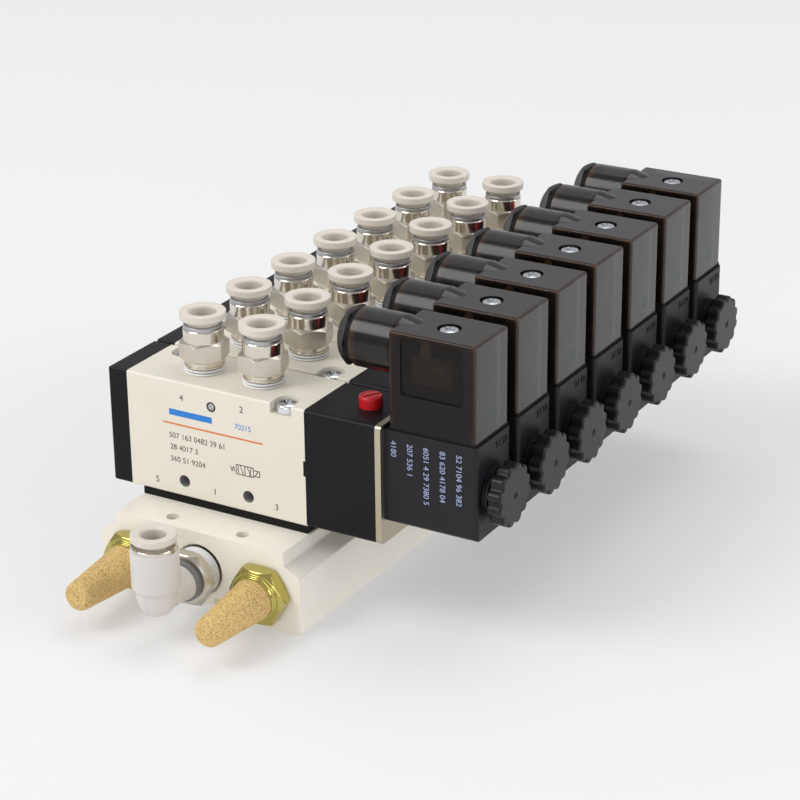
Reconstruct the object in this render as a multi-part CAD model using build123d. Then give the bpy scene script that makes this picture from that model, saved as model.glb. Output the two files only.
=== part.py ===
"""Pneumatic valve island: seven 5/2 single-solenoid valves on one aluminium manifold.

Millimetres. The origin is the centre of the manifold's underside. +Z is up, +X points to the
solenoid coils, and -Y to the end that carries the silencers and the supply elbow. One station is
built about Y = 0 and copied along Y at PITCH.
"""

from math import cos, pi, sin
import os

from build123d import *

os.makedirs("parts", exist_ok=True)

# ---- fits -------------------------------------------------------------------------------------
SEAT = 0.05  # radial clearance of a seated or screwed cylinder
RUN = 0.05  # radial clearance of a sliding or turning cylinder

# ---- stations ---------------------------------------------------------------------------------
STATIONS = 7
PITCH = 28.0
VALVE_GAP = 1.0
VALVE_W = PITCH - VALVE_GAP
HALF_W = VALVE_W / 2
STATION_Y = [PITCH * (i - (STATIONS - 1) / 2) for i in range(STATIONS)]

# ---- manifold extrusion -----------------------------------------------------------------------
END_MARGIN = 16.2  # from the outer valve to the end face
BASE_L = STATIONS * PITCH - VALVE_GAP + 2 * END_MARGIN
END_Y = BASE_L / 2
BASE_H = 28.4
TOP_HALF_W = 33.3
FLARE_W = 5.8  # the flanks stand this much proud of the top rail
FLARE_DROP = 4.5  # top face down to the shoulder
FLARE_H = 3.4  # height of the sloping shoulder
FLANK_HALF_W = TOP_HALF_W + FLARE_W
LEG_IN = 11.0
RIB_HALF_W = 5.6
CHANNEL_H = 5.6
RIB_LIFT = 2.7
EDGE_R = 0.8

# ---- ports in the manifold --------------------------------------------------------------------
PORT_R = 8.33  # R3/8
PORT_CHAMFER = 0.9
PORT_DEPTH = 14.0
GALLERY_R = 6.2
SUPPLY_Z = 14.8
EXHAUST_X = 25.4
EXHAUST_Z = 13.0
HOLE_R = 2.25  # the four mounting holes
HOLE_X = 13.9
HOLE_IN = 5.8  # from the end face

# ---- valve ------------------------------------------------------------------------------------
GASKET_T = 2.6
DECK_Z = BASE_H + GASKET_T  # underside of the valves
BODY_H = 41.6
BODY_TOP = DECK_Z + BODY_H
BODY_FILLET = 0.8
FLOW_X = -3.3  # supply port of the spool bore
PORT_STEP = 11.7  # between neighbouring ports of the spool bore
PORT_X = [FLOW_X + k * PORT_STEP for k in (-2, -1, 0, 1, 2)]  # exhaust, A, supply, B, exhaust
RELIEF_HALF = 2.5
CAP_WALL = 8.3  # body beyond the last groove, at the end cap
PILOT_WALL = 9.7  # and at the pilot block
BODY_X0 = PORT_X[0] - RELIEF_HALF - CAP_WALL
BODY_X1 = PORT_X[4] + RELIEF_HALF + PILOT_WALL
CAP_T = 7.7
PILOT_L = 26.3
PILOT_FILLET = 1.6
PILOT_X1 = BODY_X1 + PILOT_L
PLATE_T = 2.1
PLATE_X1 = PILOT_X1 + PLATE_T
GASKET_IN = 4.5  # the gasket ends this far inside the body on the port side
GASKET_X0 = BODY_X0 + GASKET_IN
GASKET_SIDE = 0.2

A_X, B_X = PORT_X[1], PORT_X[3]
FOOT_PORT_R = 3.5
BORE_UP = 20.5
BORE_Z = DECK_Z + BORE_UP
BORE_R = 5.05
RELIEF_T = 1.15
RELIEF_R = BORE_R + RELIEF_T
STACK_HOLE_R = 2.15  # side holes right through each body
STACK_HOLE_X = (-15.8, 9.7)
STACK_HOLE_UP = 5.7
STACK_HOLE_Z = DECK_Z + STACK_HOLE_UP

SCREW_R = 1.95  # M4
SCREW_HEAD_R = 3.5
SCREW_HEAD_H = 2.6
POCKET_ROOM = 0.6
POCKET_R = SCREW_HEAD_R + POCKET_ROOM
POCKET_DEPTH = 3.7
SCREW_IN_BASE = 6.6
SCREW_BELOW = 0.3  # drilled past the screw's end
SCREW_EDGE = 4.4  # screw axis in from the side face
FRONT_SCREW = (BODY_X1 - 8.9, SCREW_EDGE - HALF_W)
BACK_SCREW = (BODY_X0 + 7.5, HALF_W - SCREW_EDGE)

# ---- spool ------------------------------------------------------------------------------------
SPOOL_TRAVEL = 4.0
SPOOL_OPEN = 1.0
SPOOL_R = BORE_R - RUN
SPOOL_CORE_R = 3.0
SPOOL_IN = 1.7  # from the end cap to the spool's end
PISTON_R = 8.0
PISTON_T = 3.0
PISTON_ROOM = 0.2
CHAMBER_L = 8.2
RETURN_POCKET = 5.2
PILOT_WAY_R = 1.0

# ---- manual override --------------------------------------------------------------------------
BUTTON_IN_X = 17.1  # axis from the ivory body
BUTTON_X = BODY_X1 + BUTTON_IN_X
BUTTON_R = 3.9
BUTTON_UP = 3.8
BUTTON_TRAVEL = 2.0
BUTTON_IN = 3.0
BUTTON_STEM_R = 2.0
BUTTON_STEM_L = 9.0
BUTTON_SLOT = 1.0
BUTTON_ROOM = 0.2

# ---- coil and knob nut ------------------------------------------------------------------------
COIL_L = 33.6
COIL_W = 22.5
COIL_UP = 7.8
COIL_H = 32.5
COIL_BOTTOM = DECK_Z + COIL_UP
COIL_TOP = COIL_BOTTOM + COIL_H
COIL_X1 = PLATE_X1 + COIL_L
COIL_FILLET = 1.6
TUBE_UP = 21.7
TUBE_Z = DECK_Z + TUBE_UP
TUBE_R = 4.95
TUBE_SEAT = 3.0
TUBE_THREAD_R = 4.0
TUBE_THREAD_L = 6.0
THREAD_ROOM = 0.3
WASHER_T = 1.9
WASHER_R = 8.6
KNOB_T = 5.9
KNOB_R = 10.7
KNOB_FLUTES = 12
FLUTE_R = 1.5
FLUTE_OUT = 0.55  # flute centres lie this far outside the knob

# ---- plug connector ---------------------------------------------------------------------------
PLUG_SEAL_T = 1.0
PLUG_Z0 = COIL_TOP + PLUG_SEAL_T
PLUG_H = 32.5
PLUG_TOP = PLUG_Z0 + PLUG_H
PLUG_GAP = 1.8
PLUG_X0 = PLATE_X1 + PLUG_GAP
PLUG_L = 30.9
PLUG_X1 = PLUG_X0 + PLUG_L
PLUG_W = 21.8
PLUG_WALL = 1.5
PLUG_FILLET = 1.0
PLUG_SCREW_IN_X = 15.8
PLUG_SCREW_X = PLUG_X0 + PLUG_SCREW_IN_X
PLUG_SCREW_WELL_R = 3.9
PLUG_SCREW_R = 1.45
PLUG_SCREW_HEAD_R = 3.0
PLUG_SCREW_HEAD_H = 2.2
PLUG_SCREW_IN_COIL = 6.0
BLOCK_H = 15.5
WELL_FLOOR = 1.5
WINDOW_MARGIN = 4.3
WINDOW_DEPTH = 0.4
WINDOW_UP = 11.7
BLADE_W = 5.0
BLADE_T = 0.8
BLADE_DEPTH = 3.0
BLADE_UP = 8.0
BLADE_OUT = 7.6  # the blades' distance from the plug screw

GLAND_R = 9.9
GLAND_PROUD = 1.5  # the tube stands this much above the plug's top
GLAND_Z = PLUG_TOP - GLAND_R + GLAND_PROUD
GLAND_TUBE_L = 15.3
GLAND_TAPER_L = 6.5
GLAND_TAPER = GLAND_PROUD
GLAND_BORE_R = 6.5
SEAL_STEP = 0.9
SEAL_R = GLAND_R - SEAL_STEP
SEAL_GAP = 2.0  # rubber showing between nut and housing
SEAL_IN = 8.0
CABLE_R = 3.6
GLAND_NUT_T = 3.6
GLAND_NUT_AF = 17.4

# ---- push-in fittings -------------------------------------------------------------------------
THREAD_R = 6.58  # R1/4
THREAD_DEPTH = 11.0
THREAD_SHOW = 2.0
FIT_IN = 10.0
NECK_R = 6.2
NECK_H = 1.5
HEX_AF = 14.0
HEX_H = 6.8
SLEEVE_R = 6.6
SLEEVE_H = 3.3
RING_R = 6.2
RING_H = 1.6
TUBE_SOCKET_R = 4.1  # 8 mm tube
FIT_WAY_R = 3.0
COLLAR_R = 7.3
COLLAR_H = 3.2
COLLAR_TRAVEL = 1.4
COLLAR_ROOM = 0.2
COLLAR_GAP = COLLAR_TRAVEL + COLLAR_ROOM
COLLAR_SKIRT_R = 5.1
COLLAR_SKIRT = 4.0
SOCKET_DEPTH = 18.0

# ---- silencers --------------------------------------------------------------------------------
SIL_HEX_AF = 19.0
SIL_HEX_L = 6.8
SIL_IN = 10.0
SIL_BORE_R = 4.6
CONE_R0 = 6.8
CONE_R1 = 5.0
CONE_L = 27.0
CONE_SPIGOT_R = 5.6
CONE_SPIGOT_L = 4.0
CONE_BORE_R = 3.0
CONE_WALL = 2.0

# ---- supply elbow -----------------------------------------------------------------------------
ELBOW_IN = 10.0
ELBOW_THREAD_SHOW = 3.1
ELBOW_HEX_AF = 18.0
ELBOW_HEX_L = 5.0
ELBOW_RING_R = 7.2
ELBOW_RING_L = 2.0
ARM_R = 5.6
ARM_L = 16.0  # hex face to the barrel's axis
SPIGOT_R = 4.4
SPIGOT_L = 8.6
SPIGOT_WAY_R = 3.0
BARREL_R = 6.85
BARREL_DOWN = 5.8  # supply axis up to the wide barrel
BARREL_H = 11.4
BARREL_LOW_R = 6.0
BARREL_LOW = 5.3  # below the supply axis
CROWN_R = 6.5
CROWN_H = 1.6
ELBOW_COLLAR_GAP = COLLAR_TRAVEL + COLLAR_ROOM
ELBOW_COLLAR_R = 6.5
ELBOW_COLLAR_H = 2.4
ELBOW_SOCKET_R = 4.05
ELBOW_STEP = 1.0  # socket floor above the barrel's step
ELBOW_ROOM = 0.2

# ---- end plugs --------------------------------------------------------------------------------
PLUG_IN = 10.0
PLUG_RECESS = 0.6
SOCKET_AF = 8.0
SOCKET_IN = 5.0

CUT = 1.0  # how far a cutter runs past the face that it opens


# ---- shapes -----------------------------------------------------------------------------------
def box(x0, x1, y0, y1, z0, z1):
    return Pos((x0 + x1) / 2, (y0 + y1) / 2, (z0 + z1) / 2) * Box(x1 - x0, y1 - y0, z1 - z0)


def cyl_z(r, x, y, z0, z1):
    return Pos(x, y, (z0 + z1) / 2) * Cylinder(r, z1 - z0)


def cyl_x(r, y, z, x0, x1):
    return Pos((x0 + x1) / 2, y, z) * Rot(0, 90, 0) * Cylinder(r, x1 - x0)


def cyl_y(r, x, z, y0, y1):
    return Pos(x, (y0 + y1) / 2, z) * Rot(90, 0, 0) * Cylinder(r, y1 - y0)


def hexagon(across_flats, height):
    """A hexagon prism on Z = 0 with flats facing +-X."""
    corner = across_flats / 2 / cos(pi / 6)
    return extrude(Rot(0, 0, 30) * RegularPolygon(corner, 6), height)


def along(piece, x):
    return piece.edges().filter_by(Axis.X)


def at_stations(piece):
    return [Pos(0, y, 0) * piece for y in STATION_Y]


def save(name, *pieces):
    export_step(Compound(children=list(pieces)), f"parts/{name}.step")


# ---- manifold ---------------------------------------------------------------------------------
def manifold_profile():
    """Half of the section from the middle outwards, mirrored: legs, channels and a centre rib."""
    shoulder = BASE_H - FLARE_DROP
    half = [
        (RIB_HALF_W, RIB_LIFT),
        (RIB_HALF_W, CHANNEL_H),
        (LEG_IN, CHANNEL_H),
        (LEG_IN, 0),
        (FLANK_HALF_W, 0),
        (FLANK_HALF_W, shoulder - FLARE_H),
        (TOP_HALF_W, shoulder),
        (TOP_HALF_W, BASE_H),
    ]
    points = half + [(-x, z) for x, z in reversed(half)]
    outline = make_face(Polyline(*points, close=True))
    rounded = [v for v in outline.vertices() if v.Y < CUT / 4 or abs(v.X) > LEG_IN + CUT]
    return fillet(rounded, EDGE_R)


def manifold():
    body = extrude(Plane.XZ * manifold_profile(), BASE_L / 2, both=True)
    for x, z in ((0, SUPPLY_Z), (EXHAUST_X, EXHAUST_Z), (-EXHAUST_X, EXHAUST_Z)):
        body -= cyl_y(GALLERY_R, x, z, -END_Y, END_Y)
        for end in (-1, 1):
            y0, y1 = sorted((end * (END_Y - PORT_DEPTH), end * END_Y))
            body -= cyl_y(PORT_R, x, z, y0, y1)
            mouth = Cone(PORT_R + PORT_CHAMFER, PORT_R, PORT_CHAMFER)
            tilt = Rot(-90, 0, 0) if end < 0 else Rot(90, 0, 0)
            body -= Pos(x, end * (END_Y - PORT_CHAMFER / 2), z) * tilt * mouth
    for x in (-HOLE_X, HOLE_X):
        for y in (-END_Y + HOLE_IN, END_Y - HOLE_IN):
            body -= cyl_z(HOLE_R, x, y, -CUT, BASE_H + CUT)
    galleries = ((PORT_X[0], EXHAUST_Z), (PORT_X[2], SUPPLY_Z), (PORT_X[4], EXHAUST_Z))
    for y in STATION_Y:
        for x, z in galleries:
            body -= cyl_z(FOOT_PORT_R, x, y, z, BASE_H + CUT)
        for x, dy in (FRONT_SCREW, BACK_SCREW):
            body -= cyl_z(SCREW_R + SEAT, x, y + dy, BASE_H - SCREW_IN_BASE - SCREW_BELOW, BASE_H + CUT)
    return body


def end_plugs():
    """Blind the far end of the three galleries."""
    plugs = []
    for x, z in ((0, SUPPLY_Z), (EXHAUST_X, EXHAUST_Z), (-EXHAUST_X, EXHAUST_Z)):
        face = END_Y - PLUG_RECESS
        plug = cyl_y(PORT_R - SEAT, x, z, face - PLUG_IN, face)
        key = Pos(x, face + CUT, z) * Rot(90, 0, 0) * hexagon(SOCKET_AF, SOCKET_IN + CUT)
        plugs.append(plug - key)
    return plugs


# ---- one valve --------------------------------------------------------------------------------
def valve_gasket():
    half = HALF_W - GASKET_SIDE
    seal = box(GASKET_X0, BODY_X1, -half, half, BASE_H, DECK_Z)
    for x in (PORT_X[0], PORT_X[2], PORT_X[4]):
        seal -= cyl_z(FOOT_PORT_R, x, 0, BASE_H, DECK_Z)
    for x, y in (FRONT_SCREW, BACK_SCREW):
        seal -= cyl_z(SCREW_R + 2 * SEAT, x, y, BASE_H, DECK_Z)
    return seal


def screw_pocket(x, y):
    """A round seat for a screw head, open to the nearer side face."""
    side = HALF_W + CUT if y > 0 else -HALF_W - CUT
    z0, z1 = BODY_TOP - POCKET_DEPTH, BODY_TOP + CUT
    seat = cyl_z(POCKET_R, x, y, z0, z1)
    return seat + box(x - POCKET_R, x + POCKET_R, min(y, side), max(y, side), z0, z1)


def valve_body():
    """The feature that takes the most skill: a block cross-drilled by its spool bore, five relief
    grooves, three foot ports, two threaded ports, two side holes and two screw pockets."""
    body = box(BODY_X0, BODY_X1, -HALF_W, HALF_W, DECK_Z, BODY_TOP)
    body = fillet(body.edges().filter_by(Axis.X), BODY_FILLET)
    body -= cyl_x(BORE_R, 0, BORE_Z, BODY_X0 - CUT, BODY_X1 + CUT)
    for x in PORT_X:
        body -= cyl_x(RELIEF_R, 0, BORE_Z, x - RELIEF_HALF, x + RELIEF_HALF)
    for x in (PORT_X[0], PORT_X[2], PORT_X[4]):
        body -= cyl_z(FOOT_PORT_R, x, 0, DECK_Z - CUT, BORE_Z)
    for x in (A_X, B_X):
        body -= cyl_z(THREAD_R, x, 0, BODY_TOP - THREAD_DEPTH, BODY_TOP + CUT)
        body -= cyl_z(FIT_WAY_R, x, 0, BORE_Z, BODY_TOP)
    for x in STACK_HOLE_X:
        body -= cyl_y(STACK_HOLE_R, x, STACK_HOLE_Z, -HALF_W - CUT, HALF_W + CUT)
    for x, y in (FRONT_SCREW, BACK_SCREW):
        body -= screw_pocket(x, y)
        body -= cyl_z(SCREW_R + 2 * SEAT, x, y, DECK_Z - CUT, BODY_TOP)
    return body


def valve_screws():
    screws = []
    seat = BODY_TOP - POCKET_DEPTH
    for x, y in (FRONT_SCREW, BACK_SCREW):
        head = cyl_z(SCREW_HEAD_R, x, y, seat, seat + SCREW_HEAD_H)
        screws.append(head + cyl_z(SCREW_R, x, y, BASE_H - SCREW_IN_BASE, seat))
    return screws


def end_cap():
    """Closes the bore on the port side. Its pocket is the air-return chamber."""
    cap = box(BODY_X0 - CAP_T, BODY_X0, -HALF_W, HALF_W, DECK_Z, BODY_TOP)
    outer = cap.faces().sort_by(Axis.X)[0].edges()
    cap = fillet(cap.edges().filter_by(Axis.X) + outer, BODY_FILLET)
    return cap - cyl_x(BORE_R + 2 * RUN, 0, BORE_Z, BODY_X0 - RETURN_POCKET, BODY_X0 + CUT)


def spool():
    """Lands leave A open to exhaust and B to supply at rest, and change over on SPOOL_TRAVEL."""
    left, right = BODY_X0 + SPOOL_IN, BODY_X1 + CHAMBER_L - PISTON_ROOM
    lands = [(left, PORT_X[0] - RELIEF_HALF - SPOOL_OPEN)]
    for k in (1, 3):
        lands.append(
            (
                PORT_X[k] - RELIEF_HALF + SPOOL_OPEN,
                PORT_X[k] + RELIEF_HALF + SPOOL_TRAVEL - SPOOL_OPEN,
            )
        )
    lands.append((PORT_X[4] + RELIEF_HALF + 2 * SPOOL_OPEN, BODY_X1 - SPOOL_OPEN))
    stem = cyl_x(SPOOL_CORE_R, 0, BORE_Z, left, right)
    for x0, x1 in lands:
        stem += cyl_x(SPOOL_R, 0, BORE_Z, x0, x1)
    return stem + cyl_x(PISTON_R, 0, BORE_Z, right - PISTON_T, right)


def pilot_block():
    block = box(BODY_X1, PILOT_X1, -HALF_W, HALF_W, DECK_Z, BODY_TOP)
    block = fillet(block.edges().filter_by(Axis.X), PILOT_FILLET)
    block -= cyl_x(PISTON_R + RUN, 0, BORE_Z, BODY_X1 - CUT, BODY_X1 + CHAMBER_L)
    block -= cyl_x(TUBE_R + SEAT, 0, TUBE_Z, PILOT_X1 - TUBE_SEAT, PILOT_X1 + CUT)
    block -= cyl_x(PILOT_WAY_R, 0, BORE_Z, BODY_X1 + CHAMBER_L, PILOT_X1 - TUBE_SEAT)
    well = BODY_TOP - BUTTON_IN - BUTTON_TRAVEL - BUTTON_ROOM
    block -= cyl_z(BUTTON_R + RUN, BUTTON_X, 0, well, BODY_TOP + CUT)
    floor = well - BUTTON_STEM_L
    block -= cyl_z(BUTTON_STEM_R + RUN, BUTTON_X, 0, floor, BODY_TOP)
    return block


def override_button():
    foot, top = BODY_TOP - BUTTON_IN, BODY_TOP + BUTTON_UP
    head = cyl_z(BUTTON_R, BUTTON_X, 0, foot, top)
    head -= box(
        BUTTON_X - BUTTON_R, BUTTON_X + BUTTON_R, -BUTTON_SLOT / 2, BUTTON_SLOT / 2, top - 0.8, top
    )
    return head + cyl_z(BUTTON_STEM_R, BUTTON_X, 0, foot - BUTTON_STEM_L, foot)


def bracket_plate():
    plate = box(PILOT_X1, PLATE_X1, -HALF_W, HALF_W, DECK_Z, BODY_TOP)
    plate = fillet(plate.edges().filter_by(Axis.X), PILOT_FILLET)
    return plate - cyl_x(TUBE_R + SEAT, 0, TUBE_Z, PILOT_X1 - CUT, PLATE_X1 + CUT)


# ---- coil -------------------------------------------------------------------------------------
def blades(grow=0.0):
    """Three contact blades standing in the coil's top, around the plug screw."""
    x, t, w = PLUG_SCREW_X, BLADE_T / 2 + grow, BLADE_W / 2 + grow
    z0, z1 = COIL_TOP - BLADE_DEPTH - grow, PLUG_Z0 + BLADE_UP + grow
    across = [box(x - t + dx, x + t + dx, -w, w, z0, z1) for dx in (-BLADE_OUT, BLADE_OUT)]
    return across + [box(x - w, x + w, -t - BLADE_OUT, t - BLADE_OUT, z0, z1)]


def coil():
    case = box(PLATE_X1, COIL_X1, -COIL_W / 2, COIL_W / 2, COIL_BOTTOM, COIL_TOP)
    low = case.edges().filter_by(Axis.X).sort_by(Axis.Z)[:2]
    end = case.faces().sort_by(Axis.X)[-1].edges().filter_by(Axis.Z)
    case = fillet(low + end, COIL_FILLET)
    case -= cyl_x(TUBE_R + SEAT, 0, TUBE_Z, PLATE_X1 - CUT, COIL_X1 + CUT)
    hole = COIL_TOP - PLUG_SCREW_IN_COIL - THREAD_ROOM
    case -= cyl_z(PLUG_SCREW_R + SEAT, PLUG_SCREW_X, 0, hole, COIL_TOP + CUT)
    for slot in blades(SEAT):
        case -= slot
    return case


def armature_tube():
    tube = cyl_x(TUBE_R, 0, TUBE_Z, PILOT_X1 - TUBE_SEAT, COIL_X1)
    return tube + cyl_x(TUBE_THREAD_R, 0, TUBE_Z, COIL_X1, COIL_X1 + TUBE_THREAD_L)


def coil_washer():
    x0, x1 = COIL_X1, COIL_X1 + WASHER_T
    washer = cyl_x(WASHER_R, 0, TUBE_Z, x0, x1)
    return washer - cyl_x(TUBE_THREAD_R + SEAT, 0, TUBE_Z, x0 - CUT, x1 + CUT)


def coil_nut():
    x0 = COIL_X1 + WASHER_T
    outline = Circle(KNOB_R)
    for k in range(KNOB_FLUTES):
        a = 2 * pi * (k + 0.5) / KNOB_FLUTES
        reach = KNOB_R + FLUTE_OUT
        outline -= Pos(reach * cos(a), reach * sin(a)) * Circle(FLUTE_R)
    knob = Pos(x0, 0, TUBE_Z) * Rot(0, 90, 0) * extrude(outline, KNOB_T)
    hole = TUBE_THREAD_L - WASHER_T + THREAD_ROOM
    return knob - cyl_x(TUBE_THREAD_R + RUN, 0, TUBE_Z, x0 - CUT, x0 + hole)


# ---- plug connector ---------------------------------------------------------------------------
def plug_seal():
    seal = box(PLUG_X0, PLUG_X1, -PLUG_W / 2, PLUG_W / 2, COIL_TOP, PLUG_Z0)
    seal -= cyl_z(PLUG_SCREW_R + 2 * SEAT, PLUG_SCREW_X, 0, COIL_TOP, PLUG_Z0)
    for slot in blades(SEAT):
        seal -= slot
    return seal


def plug_housing():
    """A hollow cover with a screw well, and a tube for the cable gland that tapers into its top."""
    half = PLUG_W / 2
    shell = box(PLUG_X0, PLUG_X1, -half, half, PLUG_Z0, PLUG_TOP)
    uprights = shell.edges().filter_by(Axis.Z)
    top = shell.faces().sort_by(Axis.Z)[-1].edges()
    shell = fillet(uprights + top, PLUG_FILLET)
    mouth = PLUG_X0 - GLAND_TUBE_L
    shell += cyl_x(GLAND_R, 0, GLAND_Z, mouth, PLUG_X0)
    taper = Cone(GLAND_R, GLAND_R - GLAND_TAPER, GLAND_TAPER_L)
    shell += Pos(PLUG_X0 + GLAND_TAPER_L / 2, 0, GLAND_Z) * Rot(0, 90, 0) * taper
    inside_top = PLUG_TOP - PLUG_WALL
    shell -= box(
        PLUG_X0 + PLUG_WALL,
        PLUG_X1 - PLUG_WALL,
        -half + PLUG_WALL,
        half - PLUG_WALL,
        PLUG_Z0 - CUT,
        inside_top,
    )
    shell -= cyl_x(GLAND_BORE_R, 0, GLAND_Z, mouth - CUT, PLUG_X0 + PLUG_WALL + CUT)
    floor = PLUG_Z0 + BLOCK_H
    shell += cyl_z(PLUG_SCREW_WELL_R + PLUG_WALL, PLUG_SCREW_X, 0, floor, inside_top)
    shell -= cyl_z(PLUG_SCREW_WELL_R, PLUG_SCREW_X, 0, floor + WELL_FLOOR, PLUG_TOP + CUT)
    shell -= cyl_z(PLUG_SCREW_R + 2 * SEAT, PLUG_SCREW_X, 0, floor - CUT, PLUG_TOP)
    for side in (-1, 1):
        y0, y1 = sorted((side * (half - WINDOW_DEPTH), side * (half + CUT)))
        window = box(
            PLUG_X0 + WINDOW_MARGIN,
            PLUG_X1 - WINDOW_MARGIN,
            y0,
            y1,
            PLUG_Z0 + WINDOW_UP,
            PLUG_TOP - 2 * PLUG_FILLET,
        )
        shell -= fillet(window.edges().filter_by(Axis.Y), 2.0)
    return shell


def terminal_block():
    gap = PLUG_WALL + SEAT
    half = PLUG_W / 2 - gap
    block = box(PLUG_X0 + gap, PLUG_X1 - gap, -half, half, PLUG_Z0, PLUG_Z0 + BLOCK_H)
    block -= cyl_z(PLUG_SCREW_R + 2 * SEAT, PLUG_SCREW_X, 0, PLUG_Z0, PLUG_Z0 + BLOCK_H)
    for slot in blades(SEAT):
        block -= slot
    return block


def plug_screw():
    seat = PLUG_Z0 + BLOCK_H + WELL_FLOOR
    head = cyl_z(PLUG_SCREW_HEAD_R, PLUG_SCREW_X, 0, seat, seat + PLUG_SCREW_HEAD_H)
    head -= box(
        PLUG_SCREW_X - PLUG_SCREW_HEAD_R,
        PLUG_SCREW_X + PLUG_SCREW_HEAD_R,
        -0.4,
        0.4,
        seat + PLUG_SCREW_HEAD_H - 1.0,
        seat + PLUG_SCREW_HEAD_H,
    )
    return head + cyl_z(PLUG_SCREW_R, PLUG_SCREW_X, 0, COIL_TOP - PLUG_SCREW_IN_COIL, seat)


def gland_seal():
    mouth = PLUG_X0 - GLAND_TUBE_L
    seal = cyl_x(SEAL_R, 0, GLAND_Z, mouth - SEAL_GAP, mouth)
    seal += cyl_x(GLAND_BORE_R - SEAT, 0, GLAND_Z, mouth, mouth + SEAL_IN)
    return seal - cyl_x(CABLE_R, 0, GLAND_Z, mouth - SEAL_GAP - CUT, mouth + SEAL_IN + CUT)


def gland_nut():
    x1 = PLUG_X0 - GLAND_TUBE_L - SEAL_GAP
    nut = Pos(x1 - GLAND_NUT_T, 0, GLAND_Z) * Rot(0, 90, 0) * hexagon(GLAND_NUT_AF, GLAND_NUT_T)
    return nut - cyl_x(CABLE_R, 0, GLAND_Z, x1 - GLAND_NUT_T - CUT, x1 + CUT)


# ---- push-in fittings -------------------------------------------------------------------------
NECK_Z = BODY_TOP + THREAD_SHOW
HEX_Z = NECK_Z + NECK_H
SLEEVE_Z = HEX_Z + HEX_H
RING_Z = SLEEVE_Z + SLEEVE_H
RING_TOP = RING_Z + RING_H
COLLAR_Z = RING_TOP + COLLAR_GAP
COLLAR_TOP = COLLAR_Z + COLLAR_H


def fitting_body(x):
    body = cyl_z(THREAD_R - SEAT, x, 0, BODY_TOP - FIT_IN, NECK_Z)
    body += cyl_z(NECK_R, x, 0, NECK_Z, HEX_Z)
    body += Pos(x, 0, HEX_Z) * Rot(0, 0, 15) * hexagon(HEX_AF, HEX_H)
    body += cyl_z(SLEEVE_R, x, 0, SLEEVE_Z, RING_Z)
    body += cyl_z(RING_R, x, 0, RING_Z, RING_TOP)
    body -= cyl_z(FIT_WAY_R, x, 0, BODY_TOP - FIT_IN - CUT, RING_TOP + CUT)
    body -= cyl_z(TUBE_SOCKET_R, x, 0, COLLAR_TOP - SOCKET_DEPTH, RING_TOP + CUT)
    skirt_room = COLLAR_Z - COLLAR_SKIRT - COLLAR_GAP
    return body - cyl_z(COLLAR_SKIRT_R + RUN, x, 0, skirt_room, RING_TOP + CUT)


def release_collar(x, y=0.0):
    collar = cyl_z(COLLAR_R, x, y, COLLAR_Z, COLLAR_TOP)
    collar += cyl_z(COLLAR_SKIRT_R, x, y, COLLAR_Z - COLLAR_SKIRT, COLLAR_Z)
    return collar - cyl_z(TUBE_SOCKET_R, x, y, COLLAR_Z - COLLAR_SKIRT - CUT, COLLAR_TOP + CUT)


# ---- silencers --------------------------------------------------------------------------------
def silencer_hexes():
    pieces = []
    for x in (-EXHAUST_X, EXHAUST_X):
        head = Pos(x, -END_Y, EXHAUST_Z) * Rot(90, 0, 0) * Rot(0, 0, 30)
        piece = head * hexagon(SIL_HEX_AF, SIL_HEX_L)
        piece += cyl_y(PORT_R - SEAT, x, EXHAUST_Z, -END_Y, -END_Y + SIL_IN)
        out = -END_Y - SIL_HEX_L
        piece -= cyl_y(SIL_BORE_R, x, EXHAUST_Z, out - CUT, -END_Y + SIL_IN + CUT)
        piece -= cyl_y(CONE_SPIGOT_R + SEAT, x, EXHAUST_Z, out - CUT, out + CONE_SPIGOT_L)
        pieces.append(piece)
    return pieces


def silencer_cones():
    pieces = []
    y0 = -END_Y - SIL_HEX_L
    for x in (-EXHAUST_X, EXHAUST_X):
        cone = Pos(x, y0 - CONE_L / 2, EXHAUST_Z) * Rot(90, 0, 0) * Cone(CONE_R0, CONE_R1, CONE_L)
        tip = cone.faces().sort_by(Axis.Y)[0].edges()
        cone = fillet(tip, 1.2)
        cone += cyl_y(CONE_SPIGOT_R, x, EXHAUST_Z, y0, y0 + CONE_SPIGOT_L)
        y1 = y0 - CONE_L + CONE_WALL
        pieces.append(cone - cyl_y(CONE_BORE_R, x, EXHAUST_Z, y1, y0 + CONE_SPIGOT_L + CUT))
    return pieces


# ---- supply elbow -----------------------------------------------------------------------------
ELBOW_HEX_Y = -END_Y - ELBOW_THREAD_SHOW
ELBOW_FACE_Y = ELBOW_HEX_Y - ELBOW_HEX_L
BARREL_Y = ELBOW_FACE_Y - ARM_L
BARREL_Z0 = SUPPLY_Z + BARREL_DOWN
BARREL_Z1 = BARREL_Z0 + BARREL_H
CROWN_TOP = BARREL_Z1 + CROWN_H
ELBOW_COLLAR_Z = CROWN_TOP + ELBOW_COLLAR_GAP
ELBOW_COLLAR_TOP = ELBOW_COLLAR_Z + ELBOW_COLLAR_H
ELBOW_SOCKET_Z = BARREL_Z0 + ELBOW_STEP


def elbow_stud():
    stud = cyl_y(PORT_R - SEAT, 0, SUPPLY_Z, ELBOW_HEX_Y, -END_Y + ELBOW_IN)
    head = Pos(0, ELBOW_HEX_Y, SUPPLY_Z) * Rot(90, 0, 0) * hexagon(ELBOW_HEX_AF, ELBOW_HEX_L)
    stud += head
    stud += cyl_y(SPIGOT_R, 0, SUPPLY_Z, ELBOW_FACE_Y - SPIGOT_L, ELBOW_FACE_Y)
    return stud - cyl_y(
        SPIGOT_WAY_R, 0, SUPPLY_Z, ELBOW_FACE_Y - SPIGOT_L - CUT, -END_Y + ELBOW_IN + CUT
    )


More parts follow.
